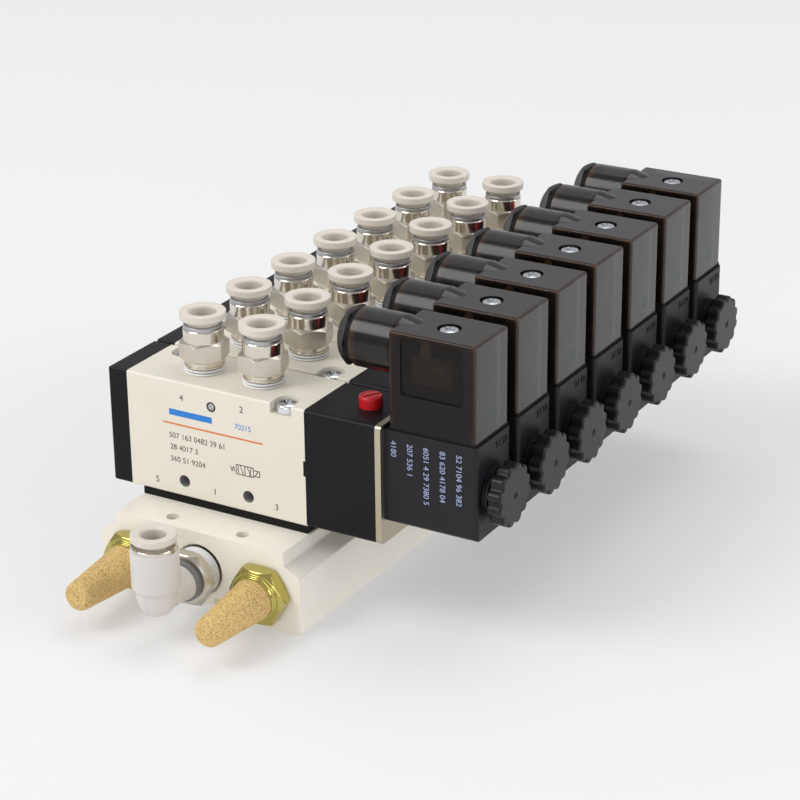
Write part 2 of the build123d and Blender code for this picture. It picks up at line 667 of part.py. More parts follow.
def elbow_body():
    """Turns on the stud's spigot. Its barrel takes the supply tube from above."""
    foot = SUPPLY_Z - BARREL_LOW
    low = cyl_z(BARREL_LOW_R, 0, BARREL_Y, foot, BARREL_Z0)
    low = fillet(low.faces().sort_by(Axis.Z)[0].edges(), BARREL_LOW_R / 2)
    body = low + cyl_z(BARREL_R, 0, BARREL_Y, BARREL_Z0, BARREL_Z1)
    body += cyl_z(CROWN_R, 0, BARREL_Y, BARREL_Z1, CROWN_TOP)
    body += cyl_y(ARM_R, 0, SUPPLY_Z, BARREL_Y, ELBOW_FACE_Y)
    body += cyl_y(ELBOW_RING_R, 0, SUPPLY_Z, ELBOW_FACE_Y - ELBOW_RING_L, ELBOW_FACE_Y)
    body -= cyl_y(
        SPIGOT_R + RUN, 0, SUPPLY_Z, ELBOW_FACE_Y - SPIGOT_L - ELBOW_ROOM, ELBOW_FACE_Y + CUT
    )
    body -= cyl_y(SPIGOT_WAY_R, 0, SUPPLY_Z, BARREL_Y, ELBOW_FACE_Y)
    body -= cyl_z(SPIGOT_WAY_R, 0, BARREL_Y, SUPPLY_Z, CROWN_TOP + CUT)
    body -= cyl_z(ELBOW_SOCKET_R, 0, BARREL_Y, ELBOW_SOCKET_Z, CROWN_TOP + CUT)
    skirt_room = ELBOW_COLLAR_Z - COLLAR_SKIRT - ELBOW_COLLAR_GAP
    return body - cyl_z(COLLAR_SKIRT_R + RUN, 0, BARREL_Y, skirt_room, CROWN_TOP + CUT)


def elbow_collar():
    collar = cyl_z(ELBOW_COLLAR_R, 0, BARREL_Y, ELBOW_COLLAR_Z, ELBOW_COLLAR_TOP)
    skirt = ELBOW_COLLAR_Z - COLLAR_SKIRT
    collar += cyl_z(COLLAR_SKIRT_R, 0, BARREL_Y, skirt, ELBOW_COLLAR_Z)
    return collar - cyl_z(ELBOW_SOCKET_R, 0, BARREL_Y, skirt - CUT, ELBOW_COLLAR_TOP + CUT)


# ---- the assembly -----------------------------------------------------------------------------
save("manifold", manifold())
save("manifold_end_plugs", *end_plugs())
save("silencer_hexes", *silencer_hexes())
save("silencer_cones", *silencer_cones())
save("elbow_stud", elbow_stud())
save("elbow_body", elbow_body())
save("elbow_collar", elbow_collar())

STATION_PIECES = {
    "valve_gaskets": valve_gasket(),
    "valve_bodies": valve_body(),
    "end_caps": end_cap(),
    "pilot_blocks": pilot_block(),
    "bracket_plates": bracket_plate(),
    "solenoid_coils": coil(),
    "armature_tubes": armature_tube(),
    "coil_washers": coil_washer(),
    "plug_gaskets": plug_seal(),
    "plug_housings": plug_housing(),
    "plug_terminal_blocks": terminal_block(),
    "plug_screws": plug_screw(),
    "gland_seals": gland_seal(),
    "gland_nuts": gland_nut(),
}
for name, piece in STATION_PIECES.items():
    save(name, *at_stations(piece))

save("valve_screws", *[s for screw in valve_screws() for s in at_stations(screw)])
save("coil_terminals", *[s for blade in blades() for s in at_stations(blade)])
save("fitting_bodies", *[s for x in (A_X, B_X) for s in at_stations(fitting_body(x))])

MOVING_PIECES = {
    "override_button": override_button(),
    "release_collar_a": release_collar(A_X),
    "release_collar_b": release_collar(B_X),
    "coil_nut": coil_nut(),
    "spool": spool(),
}
for name, piece in MOVING_PIECES.items():
    for i, y in enumerate(STATION_Y):
        save(f"{name}_{i + 1}", Pos(0, y, 0) * piece)
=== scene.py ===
"""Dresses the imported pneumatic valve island: fittings, collars, glands, knobs, silencers, elbow,
printing, finishes, studio floor, lights and camera. Sizes in the helpers are millimetres."""

from math import cos, pi, radians, sin

import bmesh
import bpy
from mathutils import Matrix, Vector


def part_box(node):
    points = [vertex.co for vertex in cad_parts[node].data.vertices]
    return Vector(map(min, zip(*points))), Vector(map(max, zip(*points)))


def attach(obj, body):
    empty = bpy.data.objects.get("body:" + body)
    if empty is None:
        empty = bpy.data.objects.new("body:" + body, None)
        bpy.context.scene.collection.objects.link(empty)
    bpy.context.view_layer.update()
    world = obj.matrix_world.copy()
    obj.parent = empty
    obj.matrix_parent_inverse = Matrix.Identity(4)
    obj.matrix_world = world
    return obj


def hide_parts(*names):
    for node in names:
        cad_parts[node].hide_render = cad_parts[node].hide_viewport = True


bl_info = {
    "name": "Pneumatic Valve Island Dresser",
    "version": (1, 0, 0),
    "blender": (4, 5, 0),
    "location": "View3D > Sidebar > Valve Island",
    "description": "Builds the finished pieces and finishes of a pneumatic valve island",
    "category": "Object",
}

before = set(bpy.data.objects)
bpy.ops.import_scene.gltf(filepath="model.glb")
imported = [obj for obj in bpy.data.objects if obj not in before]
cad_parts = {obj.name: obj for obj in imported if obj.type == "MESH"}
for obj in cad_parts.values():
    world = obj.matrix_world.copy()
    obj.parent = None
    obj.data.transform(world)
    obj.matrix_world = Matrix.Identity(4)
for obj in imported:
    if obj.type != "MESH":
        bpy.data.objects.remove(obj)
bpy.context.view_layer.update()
MM = 0.001


# ---- places read from the frame ----
def low(node):
    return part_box(node)[0] / MM


def high(node):
    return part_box(node)[1] / MM


def middle(node):
    return (low(node) + high(node)) / 2


STATIONS = sum(name.startswith("override_button_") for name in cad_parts)
STATION_Y = [middle(f"override_button_{k + 1}").y for k in range(STATIONS)]
FIRST_Y, PITCH = STATION_Y[0], STATION_Y[1] - STATION_Y[0]
DECK_Z, BODY_TOP = low("valve_bodies").z, high("valve_bodies").z
BODY_X0, BODY_X1 = low("valve_bodies").x, high("valve_bodies").x
LABEL_Y = low("valve_bodies").y
SIDE_HOLES = [(x, DECK_Z + 5.7, 2.15) for x in (-15.8, 9.7)]  # x, z and radius
A_X, B_X = middle("release_collar_a_1").x, middle("release_collar_b_1").x
BUTTON_X, BUTTON_TOP = middle("override_button_1").x, high("override_button_1").z
COIL_LOW, COIL_HIGH = low("solenoid_coils"), high("solenoid_coils")
WASHER_X0, KNOB_X0, KNOB_X1 = low("coil_washers").x, low("coil_nut_1").x, high("coil_nut_1").x
KNOB_R, TUBE_Z = (high("coil_nut_1").z - low("coil_nut_1").z) / 2, middle("coil_nut_1").z
PLUG_X0, PLUG_X1 = low("plug_gaskets").x, high("plug_gaskets").x
PLUG_HALF = (high("plug_housings").y - low("plug_housings").y - PITCH * (STATIONS - 1)) / 2
PLUG_Z0, TUBE_TOP, GLAND_MOUTH = low("plug_housings").z, high("plug_housings").z, low("plug_housings").x
BOX_TOP = TUBE_TOP - 1.5  # the gland tubes stand this much above the plugs' lids
WINDOW_HALF, WINDOW_Z0, WINDOW_Z1 = 11.15, PLUG_Z0 + 11.7, BOX_TOP - 0.5
NUT_X0, NUT_X1, GLAND_Z = low("gland_nuts").x, high("gland_nuts").x, middle("gland_nuts").z
END_Y, SILENCER_Z = low("manifold").y, middle("silencer_hexes").z
ELBOW_Y, ELBOW_TOP = middle("elbow_collar").y, high("elbow_collar").z
SUPPLY_Z = middle("elbow_stud").z
PRINT_GAP = 0.005  # between a face and the print on it
SKIN = 0.02  # how far a finished face stays inside the plain one


# ---- what a user may change ----
def number(name, about, default, **limits):
    return bpy.props.FloatProperty(name=name, description=about, default=default, **limits)


def size(name, about, default):
    limits = {"min": 0.0, "max": 0.05, "unit": "LENGTH", "subtype": "DISTANCE", "precision": 5}
    return number(name, about, default * MM, **limits)


def tint(name, about, default):
    return bpy.props.FloatVectorProperty(
        name=name, description=about, default=default, size=3, min=0.0, max=1.0, subtype="COLOR"
    )


class PaintColours(bpy.types.PropertyGroup):
    ivory: tint("Valve ivory", "Paint of the valve bodies", (0.795, 0.752, 0.640))
    cream: tint("Manifold cream", "Coating of the manifold", (0.925, 0.875, 0.775))
    black: tint("Moulded black", "End caps, pilot blocks and coils", (0.0085, 0.0080, 0.0105))
    smoke: tint("Smoked plug", "Body tint of the see-through plugs", (0.0095, 0.0075, 0.0068))
    collar: tint("Collar beige", "Release collars", (0.690, 0.640, 0.560))
    elbow: tint("Elbow grey", "Moulded supply elbow", (0.680, 0.650, 0.610))
    red: tint("Override red", "Manual override buttons", (0.620, 0.012, 0.018))
    brass: tint("Brass", "Silencer hexagons", (0.520, 0.450, 0.130))
    bronze: tint("Sintered bronze", "Silencer cones", (0.720, 0.500, 0.200))
    nickel: tint("Nickel", "Plating of the fittings", (0.700, 0.655, 0.570))


class FittingSizes(bpy.types.PropertyGroup):
    hex_flats: size("Hexagon", "Across the flats of a push-in fitting", 14.0)
    hex_round: size("Hexagon rim", "Radius where the hexagon's rounding starts", 6.4)
    grown: number("Grown", "A finished fitting over the plain one", 1.06, min=0.9, max=1.2)
    thread_pitch: size("Thread pitch", "Between the sealed thread's crests", 0.98)
    collar_round: size("Collar rounding", "Edge rounding of a release collar", 0.7)


class ElbowSizes(bpy.types.PropertyGroup):
    barrel: size("Barrel", "Radius of the elbow's barrel", 8.0)
    foot: size("Foot", "Radius of the barrel's lower part", 6.7)
    collar: size("Collar", "Radius of the elbow's release collar", 7.6)
    step_up: size("Step", "Stud axis up to the barrel's step", 4.0)


class CoilSizes(bpy.types.PropertyGroup):
    flute_depth: size("Flute depth", "Depth of the knob's scallops", 1.25)
    flutes: bpy.props.IntProperty(
        name="Flutes", description="Scallops round one knob", default=12, min=6, max=24
    )
    print_height: size("Print height", "Cap height of the marks on a coil", 2.0)


class StudioLook(bpy.types.PropertyGroup):
    floor: tint("Floor", "Colour of the studio floor", (0.53, 0.53, 0.53))
    key_power: number("Key power", "Power of the soft key light", 28.0, min=0.0, unit="POWER")
    lens: number("Lens", "Focal length on a 36 mm sensor", 110.39, min=20.0, subtype="DISTANCE_CAMERA")


GROUPS = {
    "colours": PaintColours, "fittings": FittingSizes, "elbow": ElbowSizes, "coils": CoilSizes,
    "studio": StudioLook,
}


def settings(group):
    return getattr(bpy.context.scene, f"island_{group}")


# ---- shader expressions ----
class Value:
    """A shader socket. Arithmetic on it adds the Math nodes."""

    def __init__(self, maker, socket):
        self.maker, self.socket = maker, socket

    def _math(self, operation, first, second=None):
        sockets = {0: first} if second is None else {0: first, 1: second}
        return self.maker.node("ShaderNodeMath", {"operation": operation}, sockets)

    def __add__(self, other):
        return self._math("ADD", self, other)

    __radd__ = __add__

    def __mul__(self, other):
        return self._math("MULTIPLY", self, other)

    __rmul__ = __mul__

    def __sub__(self, other):
        return self._math("SUBTRACT", self, other)

    def __rsub__(self, other):
        return self._math("SUBTRACT", other, self)

    def over(self, edge):
        return self._math("GREATER_THAN", self, edge)


class Finish:
    """One material and its Principled shader."""

    def __init__(self, name):
        self.material = bpy.data.materials.new(name)
        self.material.use_nodes = True
        self.tree = self.material.node_tree
        self.tree.nodes.clear()
        self.place = self.node("ShaderNodeTexCoord", output="Object")

    def node(self, kind, chosen=None, sockets=None, output=0):
        made = self.tree.nodes.new(kind)
        for key, value in (chosen or {}).items():
            if key == "stops":
                ramp = made.color_ramp
                for k, (at, shade) in enumerate(value):
                    stop = ramp.elements[k] if k < 2 else ramp.elements.new(at)
                    stop.position, stop.color = at, (*shade, 1.0)
            else:
                setattr(made, key, value)
        for key, value in (sockets or {}).items():
            if isinstance(value, Value):
                self.tree.links.new(value.socket, made.inputs[key])
            else:
                made.inputs[key].default_value = value
        return Value(self, made.outputs[output]) if made.outputs else None

    def axes(self):
        """The place's x, y and z in millimetres."""
        place = {"Vector": self.place}
        return [self.node("ShaderNodeSeparateXYZ", None, place, k) * (1 / MM) for k in range(3)]

    def wave(self, value):
        """Signed distance from the nearest whole number."""
        return self.node("ShaderNodeMath", {"operation": "FRACT"}, {0: value + 0.5}) - 0.5

    def rise(self, value, start, end):
        """0 at start, 1 at end."""
        ends = {"Value": value, "From Min": start, "From Max": end}
        return self.node("ShaderNodeMapRange", None, ends)

    def size_of(self, value):
        return self.node("ShaderNodeMath", {"operation": "ABSOLUTE"}, {0: value})

    def stretched(self, x, y, z):
        return self.node("ShaderNodeMapping", None, {"Vector": self.place, "Scale": (x, y, z)})

    def noise(self, per_mm, detail=3.0, vector=None, rough=0.55):
        sockets = {"Vector": vector or self.place, "Scale": per_mm / MM}
        return self.node("ShaderNodeTexNoise", None, {**sockets, "Detail": detail, "Roughness": rough})

    def grains(self, per_mm, output="Distance"):
        sockets = {"Vector": self.place, "Scale": per_mm / MM}
        return self.node("ShaderNodeTexVoronoi", None, sockets, output)

    def ramp(self, factor, *stops):
        return self.node("ShaderNodeValToRGB", {"stops": stops}, {"Fac": factor})

    def blend(self, factor, first, second):
        first, second = (c if isinstance(c, Value) else (*c, 1.0) for c in (first, second))
        return self.node("ShaderNodeMix", {"data_type": "RGBA"}, {0: factor, 6: first, 7: second}, 2)

    def bump(self, height, depth):
        """Height 0 to 1 stands for depth millimetres."""
        sockets = {"Height": height, "Distance": depth * MM, "Strength": 1.0}
        return self.node("ShaderNodeBump", None, sockets)

    def done(self, base, rough, glow=0.0, **sockets):
        if glow:
            sockets.update(emission_color=base, emission_strength=glow)
        values = {"Base Color": base, "Roughness": rough}
        for key, value in sockets.items():
            values[key.replace("_", " ").title().replace("Ior", "IOR")] = value
        shader = self.node("ShaderNodeBsdfPrincipled", None, values, "BSDF")
        self.node("ShaderNodeOutputMaterial", None, {"Surface": shader})
        return self.material


def paint(tone):
    """A plain colour, a user's colour by its name, or a user's name and a factor."""
    if isinstance(tone, str):
        return tuple(getattr(settings("colours"), tone))
    return shade(paint(tone[0]), tone[1]) if len(tone) == 2 else tone


def shade(colour, by):
    return tuple(min(1.0, c * by) for c in colour)


def coated(name, colour, rough, peel=0.006, streak=None, shaded_bores=()):
    """Sprayed or anodised metal: faint orange peel, soft cloudiness and a few handled patches.
    Shaded bores are the (x, z, radius) of holes along Y, whose insides get painted shade."""
    f, colour = Finish(name), paint(colour)
    cloud = f.noise(0.035, 4.0)
    fine = f.noise(2.2, 2.0)
    base = f.blend(cloud, shade(colour, 0.955), shade(colour, 1.03))
    base = f.blend(f.noise(0.9, 5.0).over(0.66) * 0.22, base, shade(colour, 0.88))
    height = fine
    if streak:
        lines = f.noise(1.0, 4.0, f.stretched(*streak))
        base = f.blend(lines * 0.35, base, shade(colour, 0.93))
        height = fine * 0.5 + lines * 0.5
    if shaded_bores:
        x, y, z = f.axes()
    # Inside each bore the paint gives way to a flat grey: painted shade for the deep hole's dark inside.
    for bore_x, bore_z, radius in shaded_bores:
        aside, above = x - bore_x, z - bore_z
        bore_shade = 1 - (aside * aside + above * above).over((radius + 0.1) ** 2)
        base = f.blend(bore_shade * y.over(LABEL_Y + 0.25), base, (0.33, 0.33, 0.335))
    rough = cloud * 0.16 + (rough - 0.08)
    return f.done(base, rough, normal=f.bump(height, peel), coat_weight=0.12, coat_roughness=0.25)


def moulded(name, colour, rough, grain=0.01, per_mm=3.0, cloud_by=0.25, shine=0.5, glow=0.0):
    """Moulded plastic: spark-eroded grain, a little dust and cloudy gloss."""
    f, colour = Finish(name), paint(colour)
    cloud = f.noise(0.06, 4.0)
    grit = f.noise(per_mm, 3.0)
    dust = f.noise(1.6, 6.0, rough=0.7).over(0.68)
    base = f.blend(cloud, shade(colour, 1.0 - cloud_by), shade(colour, 1.0 + cloud_by))
    base = f.blend(dust * 0.06, base, shade((0.20, 0.19, 0.18), 1.0 if max(colour) < 0.3 else 3.2))
    rough = cloud * 0.14 + grit * 0.06 + (rough - 0.1)
    return f.done(base, rough, glow, normal=f.bump(grit, grain), specular_ior_level=shine)


def metal(name, colour, rough, brushed=None, stain=0.15, pits=0.003):
    """Plated or bare metal with fine tool marks and light stains."""
    f, colour = Finish(name), paint(colour)
    cloud = f.noise(0.12, 4.0)
    marks = f.noise(1.5, 3.0, f.stretched(*(brushed or (1, 1, 1))))
    base = f.blend(cloud * stain * 2.0, shade(colour, 1.04), shade(colour, 0.80))
    rough = marks * 0.12 + cloud * 0.06 + (rough - 0.08)
    return f.done(base, rough, metallic=1.0, normal=f.bump(marks, pits))


def smoked_plastic():
    """Brown-black plug plastic: see-through in the windows, with a painted amber glow along edges and at
    the mouth, and painted reflection lightening the lids and end faces.
    """
    f = Finish("smoked_plastic")
    tone = paint("smoke")
    cloud = f.noise(0.05, 4.0)
    x, y, z = f.axes()
    across = f.wave((y - FIRST_Y) * (1 / PITCH)) * PITCH
    off_line = f.size_of(across)
    off_middle = f.size_of(x - (PLUG_X0 + PLUG_X1) / 2)
    length = (PLUG_X1 - PLUG_X0) / 2
    sideways = f.rise(off_line, PLUG_HALF - 1.6, PLUG_HALF)
    endways = f.rise(off_middle, length - 1.6, length) * (1 - off_middle.over(length + 0.2))
    upper = f.rise(z, BOX_TOP - 1.6, BOX_TOP) * (1 - z.over(BOX_TOP + 0.1))
    mouth = 1 - f.rise(x, GLAND_MOUTH + 0.6, GLAND_MOUTH + 2.6)
    # Painted glow: amber along the plugs' edges and round the mouth, standing in for light shining through
    # the thin brown plastic.
    painted_edge_glow = f.noise(0.25, 3.0) * (sideways * endways + sideways * upper + endways * upper + mouth) * 0.8
    window = off_line.over(PLUG_HALF - 1.0) * (1 - off_middle.over(WINDOW_HALF))
    window = window * z.over(WINDOW_Z0) * (1 - z.over(WINDOW_Z1))
    base = f.blend(cloud, shade(tone, 0.8), shade(tone, 1.35))
    base = f.blend(painted_edge_glow, base, (0.10, 0.045, 0.018))
    # Painted reflection: the end faces are lightened, more towards +Y and along a vertical streak, and the
    # lids a little.
    end = x.over(PLUG_X1 - 0.5)
    streak = f.rise(across, 2.6, 4.4) * (1 - f.rise(across, 4.6, 5.6))
    painted_reflection = end * (f.rise(across, -PLUG_HALF, PLUG_HALF) * 0.30 + streak * 0.28 + 0.18)
    lid = z.over(BOX_TOP - 0.1)
    painted_reflection = painted_reflection + lid * 0.10
    base = f.blend(painted_reflection, base, (0.115, 0.108, 0.106))
    tube = 1 - x.over(PLUG_X0 - 1.0)
    return f.done(
        base, cloud * 0.06 + 0.09 + tube * 0.10,
        alpha=0.90 + cloud * 0.05 - window * 0.28 - end * 0.12,
        specular_ior_level=0.20, coat_weight=lid * 0.5 + end * 0.4 + tube * 0.35, coat_roughness=0.12,
        normal=f.bump(f.noise(0.5, 2.0), 0.003),
    )


def sintered():
    """Bronze beads fused together, each lighter in its middle and darker towards the gaps between them:
    painted light and shade.
    """
    f = Finish("sintered_bronze")
    colour = paint("bronze")
    bead = f.grains(2.3)
    speck = f.grains(2.3, "Color")
    pick = f.node("ShaderNodeSeparateColor", None, {"Color": speck}, 0)
    # Painted light and shade: each bead lighter in its middle, darker towards the gaps between beads.
    bead_shading = ((0.0, 1.25), (0.5, 1.0), (0.95, 0.45))
    base = f.ramp(bead, *((at, shade(colour, by)) for at, by in bead_shading))
    base = f.blend(pick.over(0.86) * 0.6, base, shade(colour, 0.30))
    base = f.blend(f.noise(0.15, 3.0) * 0.35, base, shade(colour, 1.15))
    return f.done(base, 0.62 + pick * 0.2, metallic=0.25, normal=f.bump(1.0 - bead, 0.14))


def simple(name, dark, pale, drift, vary, least, grain=None, glow=0.0, shine=0.5):
    """A small part: colour and gloss drift between two ends, over a fine grain."""
    f = Finish(name)
    cloud = f.noise(*drift)
    more = {"normal": f.bump(f.noise(grain[0]), grain[1])} if grain else {}
    base = f.blend(cloud, paint(dark), paint(pale))
    return f.done(base, cloud * vary + least, glow, specular_ior_level=shine, **more)


def ink(name, colour):
    return simple(name, shade(colour, 0.9), shade(colour, 1.15), (1.8, 4.0), 0.2, 0.4)


FINISHES = {
    "ivory": (coated, "ivory_paint", "ivory", 0.40, 0.006, None, SIDE_HOLES),
    "cream": (coated, "cream_coating", "cream", 0.46, 0.008, (6.0, 0.05, 6.0)),
    "cap": (moulded, "gloss_black", "black", 0.26, 0.004, 1.5, 0.25, 0.14),
    "pilot": (moulded, "satin_black", "black", 0.42, 0.008, 3.0, 0.25, 0.16),
    "coil": (moulded, "coil_black", "black", 0.45, 0.012, 2.6, 0.25, 0.30),
    "knob": (moulded, "knob_black", "black", 0.34, 0.006, 3.0, 0.25, 0.32),
    "gland": (moulded, "gland_black", ("smoke", 1.2), 0.24, 0.003, 0.8, 0.25, 0.25),
    "collar": (moulded, "collar_plastic", "collar", 0.50, 0.008, 2.0, 0.04),
    "elbow": (moulded, "elbow_plastic", "elbow", 0.46, 0.006, 2.0, 0.035),
    "grey": (moulded, "swivel_grey", (0.20, 0.20, 0.20), 0.4, 0.004, 2.0, 0.1),
    "block": (moulded, "terminal_block", (0.46, 0.41, 0.34), 0.5, 0.004, 1.0, 0.1),
    # The lamp board glows with painted light, so that it shows through the dark plugs.
    "board": (moulded, "lamp_board", (0.50, 0.44, 0.20), 0.45, 0.004, 1.0, 0.3, 0.5, 0.55),
    "nickel": (metal, "nickel_plate", "nickel", 0.14, (0.4, 0.4, 5.0)),
    "satin_nickel": (metal, "satin_nickel", ("nickel", 0.92), 0.28, (5.0, 5.0, 0.5), 0.1),
    "dull_nickel": (metal, "dull_nickel", ("nickel", 0.82), 0.30, (3.0, 0.4, 3.0), 0.25),
    "zinc": (metal, "bright_zinc", (0.74, 0.76, 0.78), 0.20, None, 0.2),
    "ring": (metal, "matte_ring", (0.47, 0.47, 0.48), 0.40, None, 0.1),
    "plate": (metal, "plate_nickel", (0.54, 0.49, 0.38), 0.36, (0.3, 4.0, 0.3), 0.2),
    "brass": (metal, "yellow_brass", "brass", 0.14, (3.0, 0.3, 3.0), 0.2),
    "steel": (metal, "blackened_steel", (0.20, 0.20, 0.21), 0.38),
    "alloy": (metal, "spool_alloy", (0.66, 0.67, 0.70), 0.28),
    "smoke": (smoked_plastic,),
    "sintered": (sintered,),
    "rubber": (
        simple, "black_rubber", (0.004, 0.004, 0.005), (0.012, 0.012, 0.012), (0.4, 5.0), 0.2, 0.5,
        (3.0, 0.012), 0.0, 0.15,
    ),
    "red": (simple, "override_red", ("red", 0.85), ("red", 1.12), (0.3, 3.0), 0.1, 0.24, (1.5, 0.006)),
    "sealant": (
        simple, "thread_sealant", (0.80, 0.80, 0.81), (0.93, 0.93, 0.93), (1.2, 4.0), 0.2, 0.45,
        (2.0, 0.02),
    ),
    "lamp": (
        simple, "lamp_lens", (0.62, 0.34, 0.14), (0.78, 0.50, 0.22), (0.8, 2.0), 0.1, 0.15, None, 0.9,
    ),
    "ink": (ink, "dark_ink", (0.035, 0.035, 0.045)),
    "orange": (ink, "orange_ink", (0.72, 0.20, 0.045)),
    "blue": (ink, "blue_ink", (0.015, 0.20, 0.62)),
    "green": (ink, "green_ink", (0.010, 0.085, 0.050)),
    "pale": (ink, "pale_ink", (0.36, 0.41, 0.62)),
}
_made = {}


def finish(name):
    if name not in _made:
        maker, *wanted = FINISHES[name]
        _made[name] = maker(*wanted)
    return _made[name]


# ---- meshes ----
class Shape:
    """Points and faces in millimetres."""

    def __init__(self, points=(), faces=()):
        self.points, self.faces = list(points), list(faces)

    def __add__(self, other):
        start = len(self.points)
        faces = [tuple(k + start for k in face) for face in other.faces]
        return Shape(self.points + other.points, self.faces + faces)

    def moved(self, matrix):
        return Shape([tuple(matrix @ Vector(p)) for p in self.points], self.faces)

    def spun(self, degrees):
        return self.moved(Matrix.Rotation(radians(degrees), 4, "Z"))

    def at(self, x=0.0, y=0.0, z=0.0):
        return self.moved(Matrix.Translation((x, y, z)))


TO_FRONT = Matrix.Rotation(radians(90), 4, "X")  # +Z becomes -Y
TO_LEFT = Matrix.Rotation(radians(-90), 4, "Y")  # +Z becomes -X
TO_RIGHT = Matrix.Rotation(radians(90), 4, "Y")  # +Z becomes +X


def soften(outline, radius, closed=True, steps=3):
    """Rounds each corner of an outline. The number of points depends only on the outline's."""
    out, count = [], len(outline)
    for k in range(count):
        here = Vector(outline[k])
        if not closed and k in (0, count - 1):
            out.append(tuple(here))
            continue
        before, after = Vector(outline[k - 1]), Vector(outline[(k + 1) % count])
        back, ahead = before - here, after - here
        reach = min(radius, back.length * 0.45, ahead.length * 0.45)
        start = here + back.normalized() * reach
        end = here + ahead.normalized() * reach
        for s in range(steps + 1):
            t = s / steps
            out.append(tuple(start * (1 - t) ** 2 + here * 2 * t * (1 - t) + end * t * t))
    return out


def turned(outline, steps=64):
    """Turns an (r, z) outline, or outline(angle), about Z. A ring of points closes on itself,
    and an outline that starts and ends at r = 0 closes at its poles."""
    shape_at = outline if callable(outline) else lambda angle: outline
    rows = [shape_at(2 * pi * k / steps) for k in range(steps)]
    count = len(rows[0])
    poles = abs(rows[0][0][0]) < 1e-6 and abs(rows[0][-1][0]) < 1e-6
    shape = Shape()
    inner = range(1, count - 1) if poles else range(count)
    for k, row in enumerate(rows):
        angle = 2 * pi * k / steps
        shape.points += [(row[j][0] * cos(angle), row[j][0] * sin(angle), row[j][1]) for j in inner]
    wide = len(inner)
    for k in range(steps):
        a, b = k * wide, (k + 1) % steps * wide
        for j in range(wide - 1 if poles else wide):
            n = (j + 1) % wide
            shape.faces.append((a + j, b + j, b + n, a + n))
    if poles:
        for at, j in ((rows[0][0], 0), (rows[0][-1], wide - 1)):
            pole = len(shape.points)
            shape.points.append((0.0, 0.0, at[1]))
            for k in range(steps):
                shape.faces.append((pole, k * wide + j, (k + 1) % steps * wide + j))
    return shape


def lathe(outline, radius, steps=64, closed=True, corner=3):
    """Turns a softened (r, z) outline about Z."""
    return turned(soften(outline, radius, closed, corner), steps)


def ridges(inner, root, crest, wide, pitch, count, steps):
    """A sealed thread: flat-topped rings, each a pitch above the last."""
    ring = [(inner, 0.0), (root, 0.0), (crest, 0.12), (crest, wide - 0.12), (root, wide), (inner, wide)]
    ridge, made = lathe(ring, 0.1, steps), Shape()
    for k in range(count):
        made += ridge.at(z=0.08 + k * pitch)
    return made


def flat_reach(across_flats, angle):
    """How far a hexagon reaches at this angle, with flats facing +-X."""
    return across_flats / 2 / cos((angle + pi / 6) % (pi / 3) - pi / 6)


def hexagon(across_flats, z0, z1, rim, bore, slope=1.0, soft=0.12):
    """A hexagon nut whose corners are turned down to a rim at both ends."""

    def at(angle):
        reach = flat_reach(across_flats, angle)
        drop = (reach - rim) * slope
        ring = [(bore, z0), (rim, z0), (reach, z0 + drop), (reach, z1 - drop), (rim, z1), (bore, z1)]
        return soften(ring, soft)

    return turned(at, 72)


def slab(x0, x1, y0, y1, z0, z1, round_by=0.0, steps=2):
    """A box with every edge rounded."""
    bm = bmesh.new()
    bmesh.ops.create_cube(bm, size=1.0)
    for v in bm.verts:
        v.co = [(a + b) / 2 + c * (b - a) for a, b, c in zip((x0, y0, z0), (x1, y1, z1), v.co)]
    if round_by:
        bmesh.ops.bevel(bm, geom=bm.edges[:], offset=round_by, segments=steps, affect="EDGES", profile=0.5)
    bm.verts.index_update()
    shape = Shape([tuple(v.co) for v in bm.verts], [tuple(v.index for v in f.verts) for f in bm.faces])
    bm.free()
    return shape


def rib(outline, y, half=0.16, proud=0.1):
    """A thin moulding line down the front of a turned (r, z) outline."""
    made = Shape()
    for r, z in outline:
        corners = ((-half, -proud), (half, -proud), (half, 1.0), (-half, 1.0))
        made.points += [(x, y - r + into, z) for x, into in corners]
    last = 4 * len(outline) - 4
    for k in range(0, last, 4):
        made.faces += [(k + j, k + (j + 1) % 4, k + (j + 1) % 4 + 4, k + j + 4) for j in range(4)]
    made.faces += [(3, 2, 1, 0), (last, last + 1, last + 2, last + 3)]
    return made


def linked(name, data):
    made = bpy.data.objects.new(name, data)
    bpy.context.scene.collection.objects.link(made)
    return made


def joined(name, shape, scale, near, sharp=180.0):
    """A linked object, with points that meet joined and edges bent past sharp marked."""
    mesh = bpy.data.meshes.new(name)
    bm = bmesh.new()
    verts = [bm.verts.new(Vector(p) * scale) for p in shape.points]
    for face in shape.faces:
        try:
            bm.faces.new([verts[k] for k in face]).smooth = True
        except ValueError:
            pass
    bmesh.ops.remove_doubles(bm, verts=bm.verts[:], dist=near)
    bmesh.ops.recalc_face_normals(bm, faces=bm.faces[:])
    for edge in bm.edges:
        if edge.is_manifold and edge.calc_face_angle(0.0) > radians(sharp):
            edge.smooth = False
    bm.to_mesh(mesh)
    bm.free()
    return linked(name, mesh)


def shape_of(mesh):
    return Shape([tuple(v.co) for v in mesh.vertices], [tuple(p.vertices) for p in mesh.polygons])


def evaluated(made):
    bpy.context.view_layer.update()
    return bpy.data.meshes.new_from_object(made.evaluated_get(bpy.context.evaluated_depsgraph_get()))


def written(text, height, x, z, y, align="CENTER"):
    """Characters standing on a face that looks towards -Y, at x."""
    curve = bpy.data.curves.new("mark", "FONT")
    curve.body, curve.size, curve.align_x, curve.extrude = text, height * 1.4, align, 0.03
    carrier = linked("mark", curve)
    mesh = evaluated(carrier)
    shape = shape_of(mesh)
    bpy.data.objects.remove(carrier)
    bpy.data.curves.remove(curve)
    bpy.data.meshes.remove(mesh)
    return shape.moved(TO_FRONT).at(x, y, z)


